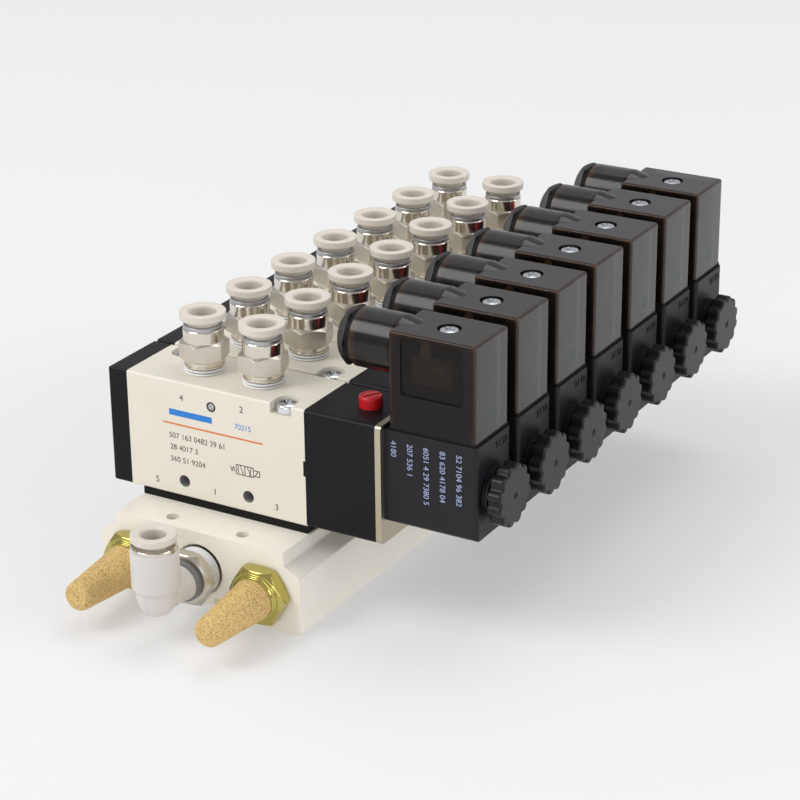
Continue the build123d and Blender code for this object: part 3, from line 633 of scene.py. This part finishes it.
def piece(name, shape, surface, body="base", nodes=(), sharp=34.0):
    """Makes one object from a shape and hands it to the frame."""
    made = joined(name, shape, MM, 1e-7, sharp)
    made.data.materials.append(finish(surface))
    level = made.modifiers.new("Level", "WEIGHTED_NORMAL")
    level.keep_sharp, level.weight = True, 80
    settle(made)
    if body:
        hand_over(made, body, nodes)
    return made


def settle(made):
    """Turns what the modifiers give into a plain mesh."""
    mesh = evaluated(made)
    old, mesh.name = made.data, made.name
    made.modifiers.clear()
    made.data = mesh
    bpy.data.meshes.remove(old)


def hand_over(made, body, nodes=()):
    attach(made, body)
    if nodes:
        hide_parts(*nodes)


def row_tree():
    """Copies a piece along a line: count copies, each one offset from the last."""
    name = "Row of pieces"
    if name in bpy.data.node_groups:
        return bpy.data.node_groups[name]
    tree = bpy.data.node_groups.new(name, "GeometryNodeTree")
    for socket in ("Geometry", "Int Count", "Vector Offset", "Material"):
        kind, title = socket.split()[0], socket.split()[-1]
        made = tree.interface.new_socket(title, in_out="INPUT", socket_type=f"NodeSocket{kind}")
        if kind == "Int":
            made.default_value = 1
    tree.interface.new_socket("Geometry", in_out="OUTPUT", socket_type="NodeSocketGeometry")
    kinds = (
        "NodeGroupInput", "NodeGroupOutput", "GeometryNodeMeshLine", "GeometryNodeInstanceOnPoints",
        "GeometryNodeRealizeInstances", "GeometryNodeSetMaterial",
    )
    given, out, line, copy, real, coat = (tree.nodes.new(kind) for kind in kinds)
    line.mode = "OFFSET"
    for source, output, target, entry in (
        (given, "Count", line, "Count"), (given, "Offset", line, "Offset"), (line, "Mesh", copy, "Points"),
        (given, "Geometry", copy, "Instance"), (copy, "Instances", real, "Geometry"),
        (real, "Geometry", coat, "Geometry"), (given, "Material", coat, "Material"),
        (coat, "Geometry", out, "Geometry"),
    ):
        tree.links.new(source.outputs[output], target.inputs[entry])
    return tree


def row(name, shape, surface, body="base", nodes=(), slot=None, count=STATIONS,
        offset=(0.0, PITCH, 0.0), sharp=34.0):
    """A piece at the first station and its copies along the island, as one plain mesh."""
    made = piece(name, shape, surface, None, sharp=sharp)
    tree = row_tree()
    steps = made.modifiers.new("Row", "NODES")
    steps.node_group = tree
    wanted = {"Count": count, "Offset": [v * MM for v in offset], "Material": finish(surface)}
    for item in tree.interface.items_tree:
        if item.in_out == "INPUT" and item.name in wanted:
            steps[item.identifier] = wanted[item.name]
    settle(made)
    hand_over(made, body, nodes)
    return made


# ---- recesses ----
def cut(shape, cutter):
    """The shape without the cutter."""
    body, tool = (joined("cut", part, 1.0, 1e-5) for part in (shape, cutter))
    bite = body.modifiers.new("Cut", "BOOLEAN")
    bite.operation, bite.object, bite.solver = "DIFFERENCE", tool, "EXACT"
    settle(body)
    left = shape_of(body.data)
    for made in (body, tool):
        mesh = made.data
        bpy.data.objects.remove(made)
        bpy.data.meshes.remove(mesh)
    return left


def cross_head(radius, height, dome, arm, half_width, depth):
    """A pan head on Z = 0 with a cross recess."""
    rows = [(0.0, 0.0), (radius, 0.0), (radius, height - dome * 1.1), (radius * 0.93, height - dome * 0.6)]
    rows += [(radius * r, height - dome * r * r * 0.6) for r in (0.75, 0.5, 0.25)] + [(0.0, height)]
    head = lathe(rows, 0.25, 48, closed=False)
    for x, y in ((arm, half_width), (half_width, arm)):
        head = cut(head, slab(-x, x, -y, y, height - depth, height + 1.0))
    tip = [(0.0, height - depth * 1.6), (arm * 0.62, height + 0.05), (0.0, height + 0.05)]
    return cut(head, turned(tip, 16))


# ---- operators ----
CASTINGS = {  # the frame's pieces that are kept, by finish
    "ivory": ["valve_bodies"], "cream": ["manifold"], "cap": ["end_caps"], "pilot": ["pilot_blocks"],
    "plate": ["bracket_plates"], "coil": ["solenoid_coils"], "smoke": ["plug_housings"],
    "rubber": ["valve_gaskets", "plug_gaskets", "gland_seals"], "block": ["plug_terminal_blocks"],
    "steel": ["manifold_end_plugs"], "zinc": ["armature_tubes", "coil_terminals"],
    "alloy": [f"spool_{k + 1}" for k in range(STATIONS)],
}


class Castings(bpy.types.Operator):
    """Give the manifold, bodies, caps, pilot blocks, coils and plugs their finishes"""

    bl_idname = "island.castings"
    bl_label = "Bodies and manifold"

    def execute(self, context):
        for surface, names in CASTINGS.items():
            for name in names:
                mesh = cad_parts[name].data
                mesh.materials.clear()
                mesh.materials.append(finish(surface))
        return {"FINISHED"}


class PushInFittings(bpy.types.Operator):
    """Fourteen nickel-plated fittings with sealed threads and grey rings"""

    bl_idname = "island.push_in_fittings"
    bl_label = "Push-in fittings"

    def execute(self, context):
        sizes = settings("fittings")
        flats, rim, pitch = sizes.hex_flats / MM, sizes.hex_round / MM, sizes.thread_pitch / MM
        nickel, hexes, white, root_shades, rings = (Shape() for _ in range(5))
        # The thread roots: a blackened cylinder under each sealed thread, painted shade for the dark
        # grooves between its ridges.
        root = turned([(4.2, 0.02), (6.15, 0.02), (6.15, 2.08), (4.2, 2.08)], 48)
        foot = [(4.2, 2.05), (6.1, 2.05), (6.42, 2.1), (6.42, 2.6), (6.1, 2.7), (6.1, 3.0)]
        foot = lathe(foot + [(6.3, 3.1), (6.3, 4.3), (4.2, 4.3)], 0.06)
        sleeve = lathe([(5.3, 10.2), (6.45, 10.2), (6.45, 14.2), (6.15, 14.6), (5.3, 14.6)], 0.14)
        ring = lathe([(5.25, 14.5), (6.2, 14.5), (6.2, 15.65), (6.0, 15.85), (5.25, 15.85)], 0.12)
        band = ridges(5.9, 6.2, 6.58, 0.68, pitch, int(2.05 / pitch), 80)
        for x in (A_X, B_X):
            place = Matrix.Translation((x, FIRST_Y, BODY_TOP)) @ Matrix.Rotation(radians(15), 4, "Z")
            place @= Matrix.Scale(sizes.grown, 4)
            nickel += (foot + sleeve).moved(place)
            hexes += hexagon(flats, 4.0, 10.6, rim, 4.2, 0.62, 0.1).moved(place)
            white += band.moved(place)
            root_shades += root.moved(place)
            rings += ring.moved(place)
        row("push_in_bodies", nickel, "nickel", nodes=["fitting_bodies"], slot="nickel")
        row("push_in_hexagons", hexes, "satin_nickel", slot="nickel", sharp=24)
        row("thread_sealant_bands", white, "sealant", slot="nickel", sharp=50)
        row("thread_roots", root_shades, "steel", slot="nickel")
        row("fitting_rings", rings, "ring", slot="steel")
        return {"FINISHED"}


class ReleaseCollars(bpy.types.Operator):
    """A beige release collar on each fitting, riding on its own body"""

    bl_idname = "island.release_collars"
    bl_label = "Release collars"

    def execute(self, context):
        sizes = settings("fittings")
        flange = [(4.3, 12.8), (5.1, 12.8), (5.1, 17.15), (5.1, 17.3), (5.25, 17.3), (6.9, 17.35)]
        flange += [(7.38, 17.75), (7.38, 19.9), (6.9, 19.98), (4.9, 19.98), (4.35, 19.3)]
        grown = lathe(flange, sizes.collar_round / MM).moved(Matrix.Scale(sizes.grown, 4))
        for letter, x in (("a", A_X), ("b", B_X)):
            for k, y in enumerate(STATION_Y):
                node = f"release_collar_{letter}_{k + 1}"
                collar = grown.at(x, y, BODY_TOP)
                piece(f"collar_{letter}_{k + 1}", collar, "collar", node, [node])
        return {"FINISHED"}


class OverrideButtons(bpy.types.Operator):
    """Red slotted manual override buttons"""

    bl_idname = "island.override_buttons"
    bl_label = "Override buttons"

    def execute(self, context):
        tall = BUTTON_TOP - BODY_TOP
        crest = tall - SKIN
        rows = [(0.0, -2.9), (3.7, -2.9), (3.88, -2.7), (3.88, tall - 0.3), (3.6, crest), (3.05, crest)]
        rows += [(2.95, tall - 0.25), (2.75, tall - 0.25), (2.65, crest), (0.0, crest)]
        head = lathe(rows, 0.12, closed=False)
        head = cut(head, slab(-2.6, 2.6, -0.5, 0.5, tall - 0.85, tall + 1.0))
        head = cut(head, slab(2.2, 4.4, -0.35, 0.35, tall - 0.5, tall + 1.0))
        for k, y in enumerate(STATION_Y):
            node = f"override_button_{k + 1}"
            button = head.spun(62).at(BUTTON_X, y, BODY_TOP)
            piece(f"button_{k + 1}", button, "red", node, [node])
        return {"FINISHED"}


class DeckScrews(bpy.types.Operator):
    """Cross-head screws that hold each valve down, and the plugs' screws"""

    bl_idname = "island.deck_screws"
    bl_label = "Screws"

    def execute(self, context):
        lo, hi = low("valve_screws"), high("valve_screws")
        head = cross_head(3.85, 3.4, 1.1, 2.3, 0.45, 1.5)
        plain = 3.5  # radius of the plain head: the rows' first and last heads give both places
        front = (hi.x - plain, lo.y + plain)
        back = (lo.x + plain, hi.y - plain - PITCH * (STATIONS - 1))
        both = Shape()
        for (x, y), spin in ((front, 20), (back, 52)):
            both += head.spun(spin).at(x, y, hi.z - 2.6)
        row("valve_screw_heads", both, "zinc", nodes=["valve_screws"], slot="steel")
        x, foot, top = middle("plug_screws").x, low("plug_screws").z, TUBE_TOP - 1.5
        small = cross_head(3.2, 2.2, 0.7, 1.9, 0.4, 1.1).at(z=top - 2.2)
        small += lathe([(0.0, foot), (1.4, foot), (1.4, top - 2.0), (0.0, top - 2.0)], 0.2, 24, False)
        row("plug_screw_heads", small.at(x, FIRST_Y), "zinc", nodes=["plug_screws"], slot="steel")
        return {"FINISHED"}


class CoilKnobs(bpy.types.Operator):
    """Scalloped knob nuts and the ribbed washers behind them"""

    bl_idname = "island.coil_knobs"
    bl_label = "Coil knobs"

    def execute(self, context):
        sizes = settings("coils")
        depth, flutes, thick = sizes.flute_depth / MM, sizes.flutes, KNOB_X1 - KNOB_X0

        def at(angle):
            scallop = depth * (0.5 + 0.5 * cos(flutes * angle)) ** 1.3
            out = KNOB_R - 0.03 - scallop
            face = thick - 0.03
            ring = [(0.0, 0.1), (7.6, 0.1), (8.2, 0.5), (out - 0.45, 0.75), (out, 1.3), (out, thick - 0.75)]
            ring += [(out - 0.22, thick - 0.3), (out - 0.75, face), (1.3, face), (0.95, thick - 0.5)]
            return soften(ring + [(0.0, thick - 0.75)], 0.16, closed=False, steps=2)

        for k, y in enumerate(STATION_Y):
            node = f"coil_nut_{k + 1}"
            knob = turned(at, flutes * 16).moved(TO_RIGHT).at(KNOB_X0, y, TUBE_Z)
            piece(f"knob_{k + 1}", knob, "knob", node, [node])
        gap = KNOB_X0 - WASHER_X0
        ribs = [(4.2, SKIN), (8.5, SKIN), (8.5, gap * 0.40), (8.0, gap * 0.46), (8.0, gap * 0.54)]
        ribs += [(8.5, gap * 0.60), (8.5, gap - SKIN), (4.2, gap - SKIN)]
        washer = lathe(ribs, 0.1).moved(TO_RIGHT).at(WASHER_X0, FIRST_Y, TUBE_Z)
        row("knob_washers", washer, "knob", nodes=["coil_washers"], slot="knob_black")
        return {"FINISHED"}


class CableGlands(bpy.types.Operator):
    """Hexagon gland nuts with a turned mouth"""

    bl_idname = "island.cable_glands"
    bl_label = "Cable glands"

    def execute(self, context):
        thick, flats = NUT_X1 - NUT_X0, min(high("gland_nuts").z - low("gland_nuts").z, 17.4)

        def at(angle):
            reach = flat_reach(flats, angle)
            rim = flats / 2 - 1.3
            drop, end = (reach - rim) * 0.75, thick - SKIN
            ring = [(3.62, 0.0), (reach - 0.25, 0.0), (reach, 0.3), (reach, thick - drop), (rim, end)]
            ring += [(6.2, end), (5.7, thick - 0.5), (4.5, thick - 0.7), (3.62, thick - 1.3)]
            return soften(ring, 0.22)

        nut = turned(at, 72).moved(TO_LEFT).at(NUT_X1, FIRST_Y, GLAND_Z)
        row("gland_hexagons", nut, "gland", nodes=["gland_nuts"], slot="gland_black")
        return {"FINISHED"}


class PlugInside(bpy.types.Operator):
    """Lamp board, lamp and clamp screws that show faintly through the plugs; the board glows with painted
    light
    """

    bl_idname = "island.plug_inside"
    bl_label = "Plug insides"

    def execute(self, context):
        lo, hi = low("plug_terminal_blocks"), high("plug_terminal_blocks")
        base, back, front = hi.z, FIRST_Y - 7.9, FIRST_Y - 9.0
        proud, sunk = front - 0.25, front + 0.1
        board = slab(lo.x + 6.0, lo.x + 20.0, front, back, base + 0.2, base + 9.5, 0.2)
        for k in range(4):
            x = lo.x + 7.6 + k * 3.3
            board += slab(x, x + 1.6, proud, sunk, base + 0.5, base + 2.6 + k % 2, 0.1)
        row("lamp_boards", board, "board", slot="block")
        bulb = [(0.0, 0.0), (1.9, 0.0), (1.9, 0.6), (1.5, 0.7), (1.5, 3.4), (0.9, 4.4), (0.0, 4.7)]
        bulbs = lathe(bulb, 0.3, 32, closed=False).at(lo.x + 9.5, FIRST_Y - 6.9, base + 9.5)
        coil = slab(lo.x + 12.5, lo.x + 17.5, proud, sunk, base + 5.0, base + 7.0, 0.2)
        row("plug_lamps", bulbs + coil, "lamp", slot="terminal")
        clamp, screws = cross_head(2.0, 1.4, 0.4, 1.2, 0.28, 0.7).moved(TO_FRONT), Shape()
        for x in (lo.x + 5.0, hi.x - 5.0):
            screws += clamp.at(x, FIRST_Y - 7.8, base - 4.0)
        row("clamp_screws", screws, "zinc", slot="terminal")
        return {"FINISHED"}


class Silencers(bpy.types.Operator):
    """Two sintered bronze silencers in brass hexagons"""

    bl_idname = "island.silencers"
    bl_label = "Silencers"

    def execute(self, context):
        lo, hi = low("silencer_hexes"), high("silencer_hexes")
        flats, face, base = hi.z - lo.z, 6.8, 7.25
        aside = hi.x - flats / 2 / cos(pi / 6)
        pair = {"count": 2, "offset": (2 * aside, 0, 0)}
        nut = hexagon(flats, 0.0, 5.6, flats / 2 - 0.5, 6.4, 0.75, 0.2)
        nut = nut.spun(30)
        nut += lathe([(6.3, 5.2), (8.6, 5.2), (8.6, 5.9), (7.9, 6.1), (7.65, face), (6.3, face)], 0.25)
        brass = nut.moved(TO_FRONT).at(-aside, END_Y, SILENCER_Z)
        row("silencer_hexagons", brass, "brass", nodes=["silencer_hexes"], slot="bronze_hex", **pair)
        long = END_Y - face - low("silencer_cones").y
        cone = [(0.0, -2.0), (6.2, -2.0), (base, 0.0), (4.98, long - 1.3), (4.55, long - 0.45)]
        cone = lathe(cone + [(3.7, long - SKIN), (0.0, long - SKIN)], 0.8, 96, closed=False, corner=4)
        bronze = cone.moved(TO_FRONT).at(-aside, END_Y - face, SILENCER_Z)
        cones = ["silencer_cones"]
        row("silencer_bronze", bronze, "sintered", nodes=cones, slot="sintered_bronze", **pair)
        return {"FINISHED"}


class SupplyElbow(bpy.types.Operator):
    """Swivelling push-in elbow on its threaded stud"""

    bl_idname = "island.supply_elbow"
    bl_label = "Supply elbow"

    def execute(self, context):
        threads, nut = 4.2, 4.6
        face = END_Y - threads - nut
        white = ridges(7.4, 7.8, 8.27, 0.66, 1.0, 4, 96).moved(TO_FRONT).at(0, END_Y, SUPPLY_Z)
        piece("stud_sealant", white, "sealant", sharp=50)
        # A blackened cylinder under the stud's sealant ridges: painted shade for the dark grooves between
        # them.
        root = turned([(6.0, 0.02), (7.6, 0.02), (7.6, threads), (6.0, threads)], 48)
        piece("stud_root", root.moved(TO_FRONT).at(0, END_Y, SUPPLY_Z), "steel")
        stud = lathe([(4.0, 3.8), (7.7, 3.8), (7.7, 4.4), (4.0, 4.4)], 0.1)
        hexed = hexagon(18.0, threads, threads + nut, 8.5, 4.0, 0.8, 0.15)
        stud += hexed.spun(30)
        stud = stud.moved(TO_FRONT).at(0, END_Y, SUPPLY_Z)
        piece("stud_hexagon", stud, "dull_nickel", nodes=["elbow_stud"])

        ring = lathe([(4.6, 0.02), (7.2, 0.02), (7.2, 1.5), (6.9, 2.0), (4.6, 2.0)], 0.2).moved(TO_FRONT)
        piece("swivel_ring", ring.at(0, face, SUPPLY_Z), "grey", "elbow_body")
        reach = face - ELBOW_Y + 2.0
        arm = [(0.0, 1.6), (6.4, 1.6), (6.1, 3.2), (5.6, 5.0), (5.6, reach), (0.0, reach)]
        body = lathe(arm, 0.6, closed=False).moved(TO_FRONT).at(0, face, SUPPLY_Z)
        sizes = settings("elbow")
        wide, slim, lip = sizes.barrel / MM, sizes.foot / MM, sizes.collar / MM - SKIN
        crest = ELBOW_TOP + 1.0
        foot, step, top = SUPPLY_Z - 5.3, SUPPLY_Z + sizes.step_up / MM, crest - 5.6
        taper = [(slim - 2.2, foot + 1.2), (slim - 0.8, foot + 3.4), (slim, foot + 6.8)]
        barrel = [(0.0, foot + SKIN), (2.2, foot + SKIN)] + taper
        barrel += [(slim, step - 0.1), (wide - 0.03, step + 1.0), (wide - 0.03, top - 0.35)]
        barrel += [(wide - 0.4, top), (5.3, top), (5.3, top - 4.0), (4.06, top - 4.0)]
        barrel += [(4.06, step + 1.1), (0.0, step + 1.1)]
        body += lathe(barrel, 0.45, 72, closed=False, corner=4).at(0, ELBOW_Y)
        taper[0] = (slim - 2.2, foot + 1.25)
        seam = rib([(2.6, foot + 0.3)] + taper + [(slim, step - 0.4)], ELBOW_Y)
        piece("elbow_moulding", body + seam, "elbow", "elbow_body", ["elbow_body"])
        rim = wide - 0.43
        crown = [(5.35, top - 0.6), (rim, top - 0.6), (rim, top + 1.3), (rim - 0.25, top + 1.6)]
        crown = lathe(crown + [(5.35, top + 1.6)], 0.2, 72).at(0, ELBOW_Y)
        piece("elbow_crown", crown, "nickel", "elbow_body")
        lift, end = crest - 2.4, crest - SKIN
        collar = [(4.05, lift - 4.0), (5.1, lift - 4.0), (5.1, lift), (lip - 0.18, lift + 0.05)]
        collar += [(lip, lift + 0.3), (lip, end), (4.9, end), (4.05, crest - 0.9)]
        collar = lathe(collar, 0.35, 72).at(0, ELBOW_Y)
        piece("elbow_ring", collar, "collar", "elbow_collar", ["elbow_collar"])
        return {"FINISHED"}


def bar(x0, z0, x1, z1, wide, y):
    """A printed line on a face that looks towards -Y."""
    run = Vector((x1 - x0, z1 - z0))
    side = Vector((-run.y, run.x)).normalized() * wide / 2
    ends = ((x0, z0, 1), (x0, z0, -1), (x1, z1, -1), (x1, z1, 1))
    corners = [(x + side.x * way, z + side.y * way) for x, z, way in ends]
    points = [(x, y - depth, z) for depth in (0.03, 0.0) for x, z in corners]
    faces = [(0, 1, 2, 3), (7, 6, 5, 4)] + [(k, k + 4, (k + 1) % 4 + 4, (k + 1) % 4) for k in range(4)]
    return Shape(points, faces)


def valve_symbol(x, z, y):
    """The plain graphic symbol of a two-position five-way valve."""
    side = 3.4
    far, last = side * 2, side + 2.6
    lines = []
    for start in (0.0, side):
        end = start + side
        lines += [(start, 0, end, 0), (end, 0, end, side)]
        lines += [(end, side, start, side), (start, side, start, 0)]
    lines += [(0.8, 0, 0.8, side), (1.7, side, 2.7, 0)]
    lines += [(side + 0.8, side, last, 0), (last, side, side + 1.7, 0)]
    for k in range(3):
        lines.append((-0.5 - k * 0.6, 0.6 + k % 2 * 1.8, -1.1 - k * 0.6, 2.4 - k % 2 * 1.8))
    box = ((0, 0.6, 2.4, 0.6), (2.4, 0.6, 2.4, 2.6), (2.4, 2.6, 0, 2.6), (0.6, 0.6, 1.8, 2.6))
    lines += [(far + a, b, far + c, d) for a, b, c, d in box]
    marks = Shape()
    for a, b, c, d in lines:
        marks += bar(x + a, z + b, x + c, z + d, 0.28, y)
    return marks


class Printing(bpy.types.Operator):
    """Port numbers, the valve symbol, plain rules, and the small test plug of each body"""

    bl_idname = "island.printing"
    bl_label = "Printing"

    def execute(self, context):
        y, base, x0 = LABEL_Y - PRINT_GAP, DECK_Z, BODY_X0 - 7.7
        dark = Shape()
        ports = (("4", 29.6, 35.0), ("2", 53.3, 35.6), ("5", 18.3, 3.1), ("1", 41.6, 3.5), ("3", 66.0, 3.4))
        for text, dx, dz in ports:
            dark += written(text, 2.3, x0 + dx, base + dz, y)
        lines = (("507 163 0482 39 61", 23.9, 20.9), ("28 4017 3", 24.1, 16.7), ("360 51 9204", 24.0, 12.3))
        for text, dx, dz in lines:
            dark += written(text, 2.0, x0 + dx, base + dz, y, "LEFT")
        dark += valve_symbol(x0 + 50.5, base + 13.2, y)
        row("label_print", dark, "ink", slot="ivory", sharp=20)
        rule = bar(x0 + 21.8, base + 26.1, x0 + 61.3, base + 26.1, 0.6, y)
        row("label_rule", rule, "orange", slot="ivory")
        blue = bar(x0 + 24.4, base + 30.3, x0 + 41.5, base + 30.3, 2.2, y)
        blue += written("70215", 1.9, x0 + 50.3, base + 29.4, y, "LEFT")
        row("label_bar", blue, "blue", slot="ivory")
        spot = (-3.8, LABEL_Y - SKIN, 66.2)
        well = turned([(1.25, 0.02), (1.75, 0.02), (1.75, -0.3), (1.25, -0.3)], 40)
        row("test_plug_wells", well.moved(TO_FRONT).at(*spot), "rubber", slot="steel")
        ball = [(0.0, 0.32), (0.75, 0.22), (1.27, -0.05), (1.27, -0.3), (0.0, -0.3)]
        ball = lathe(ball, 0.3, 40, closed=False).moved(TO_FRONT).at(*spot)
        row("test_plugs", ball, "ring", slot="steel")
        notch_y, notch_z = (LABEL_Y - 0.04, LABEL_Y + 0.3), (BODY_TOP - 23.5, BODY_TOP - 18.1)
        notch = slab(BODY_X1 - 0.75, BODY_X1 + 0.1, *notch_y, *notch_z, 0.03)
        row("vent_notches", notch, "pilot", slot="pilot_black")

        tall, y = settings("coils").print_height / MM, COIL_LOW.y - PRINT_GAP
        pale = Shape()
        lines = ("4180", "207 536 1", "6051 4 29 7380 5", "83 620 4178 04", "52 7104 96 382")
        for k, text in enumerate(lines):
            line = written(text, tall, 0.0, 0.0, 0.0, "LEFT").moved(TO_RIGHT)
            pale += line.at(COIL_LOW.x + 2.6 + k * 5.9, y, COIL_HIGH.z - 3.4)
        row("coil_print", pale, "pale", slot="coil_black")
        raised = written("24 50", 2.4, 0.0, 0.0, 0.0).moved(Matrix.Diagonal((1.0, 10.0, 1.0, 1.0)))
        raised = raised.spun(90)
        raised = raised.at(COIL_HIGH.x - 0.05, FIRST_Y + 5.0, COIL_HIGH.z - 4.6)
        row("coil_marks", raised, "knob", slot="coil_black", sharp=20)
        stamp = turned([(1.5, 0.0), (1.85, 0.0), (1.85, 0.03), (1.5, 0.03)], 40).moved(TO_RIGHT)
        stamp = stamp.at(high("plug_housings").x, FIRST_Y + 1.2, PLUG_Z0 + 6.2)
        row("plug_stamps", stamp, "green", slot="smoke")
        return {"FINISHED"}


SQUARE = ((-1, -1), (1, -1), (1, 1), (-1, 1))
FLOOR_HALF, FLOOR_Z = 4.0, -0.1 * MM  # the drop keeps the floor off the manifold's underside
LIGHTS = (  # name, place and aim in metres, share of the key's power, width, height
    ("key_light", (-1.1, -1.3, 1.8), (0, 0, 0.05), 1.0, 1.3, 1.3),
    ("side_light", (2.0, 0.5, 1.0), (0.05, 0, 0.06), 0.6, 1.6, 0.9),
    ("top_light", (0.1, 0.8, 2.4), (0, 0, 0.05), 0.5, 2.0, 1.2),
    ("front_light", (0.5, -2.2, 0.5), (0, 0, 0.05), 0.25, 1.8, 0.5),
)
CAMERA_PLACE = (0.4235, -0.7049, 0.3838)
CAMERA_ANGLES = (30.33, 23.11, -0.64)  # turn about Z, height above the floor and roll, in degrees


class Stage(bpy.types.Operator):
    """Pale floor, soft lights and the camera"""

    bl_idname = "island.stage"
    bl_label = "Studio"

    def execute(self, context):
        look, scene = settings("studio"), context.scene
        ground = bpy.data.meshes.new("studio_floor")
        corners = [(x * FLOOR_HALF, y * FLOOR_HALF, FLOOR_Z) for x, y in SQUARE]
        ground.from_pydata(corners, [], [(0, 1, 2, 3)])
        floor = linked("studio_floor", ground)
        f = Finish("studio_floor")
        tone = f.blend(f.noise(0.004, 2.0), shade(tuple(look.floor), 0.99), tuple(look.floor))
        ground.materials.append(f.done(tone, 0.85, 0.58))

        world = bpy.data.worlds.new("studio")
        world.use_nodes = True
        sky = world.node_tree.nodes["Background"].inputs
        sky["Color"].default_value, sky["Strength"].default_value = (0.95, 0.96, 1.0, 1.0), 0.50
        scene.world = world
        for name, place, aim, share, wide, tall in LIGHTS:
            data = bpy.data.lights.new(name, "AREA")
            data.shape, data.size, data.size_y = "RECTANGLE", wide, tall
            data.energy = look.key_power * share
            made = linked(name, data)
            made.location = place
            made.rotation_euler = (Vector(aim) - Vector(place)).to_track_quat("-Z", "Y").to_euler()

        camera = bpy.data.cameras.new("camera")
        camera.lens, camera.sensor_width, camera.clip_start = look.lens, 36.0, 0.01
        made = linked("camera", camera)
        turn, tip, roll = (radians(angle) for angle in CAMERA_ANGLES)
        back = Vector((sin(turn) * cos(tip), -cos(turn) * cos(tip), sin(tip)))
        side = Vector((cos(turn), sin(turn), 0.0))
        up = back.cross(side)
        right = side * cos(roll) + up * sin(roll)
        up = up * cos(roll) - side * sin(roll)
        rows = Matrix((right, up, back)).transposed().to_4x4()
        made.matrix_world = Matrix.Translation(CAMERA_PLACE) @ rows
        scene.camera = made
        scene.view_settings.view_transform = "Standard"
        return {"FINISHED"}


OPERATORS = (
    Castings, PushInFittings, ReleaseCollars, OverrideButtons, DeckScrews, CoilKnobs, CableGlands,
    PlugInside, Silencers, SupplyElbow, Printing, Stage,
)


class IslandPanel(bpy.types.Panel):
    """Lists the pieces of the valve island"""

    bl_idname = "VIEW3D_PT_valve_island"
    bl_label = "Valve Island"
    bl_space_type = "VIEW_3D"
    bl_region_type = "UI"
    bl_category = "Valve Island"

    def draw(self, context):
        for group, kind in GROUPS.items():
            box = self.layout.box()
            for name in kind.__annotations__:
                box.prop(settings(group), name)
        for operator in OPERATORS:
            self.layout.operator(operator.bl_idname)


def register():
    for group, kind in GROUPS.items():
        bpy.utils.register_class(kind)
        setattr(bpy.types.Scene, f"island_{group}", bpy.props.PointerProperty(type=kind))
    for kind in OPERATORS + (IslandPanel,):
        bpy.utils.register_class(kind)


def unregister():
    for kind in reversed(OPERATORS + (IslandPanel,)):
        bpy.utils.unregister_class(kind)
    for group, kind in GROUPS.items():
        delattr(bpy.types.Scene, f"island_{group}")
        bpy.utils.unregister_class(kind)


def main():
    register()
    for operator in OPERATORS:
        family, name = operator.bl_idname.split(".")
        getattr(getattr(bpy.ops, family), name)()


if __name__ == "__main__":
    main()
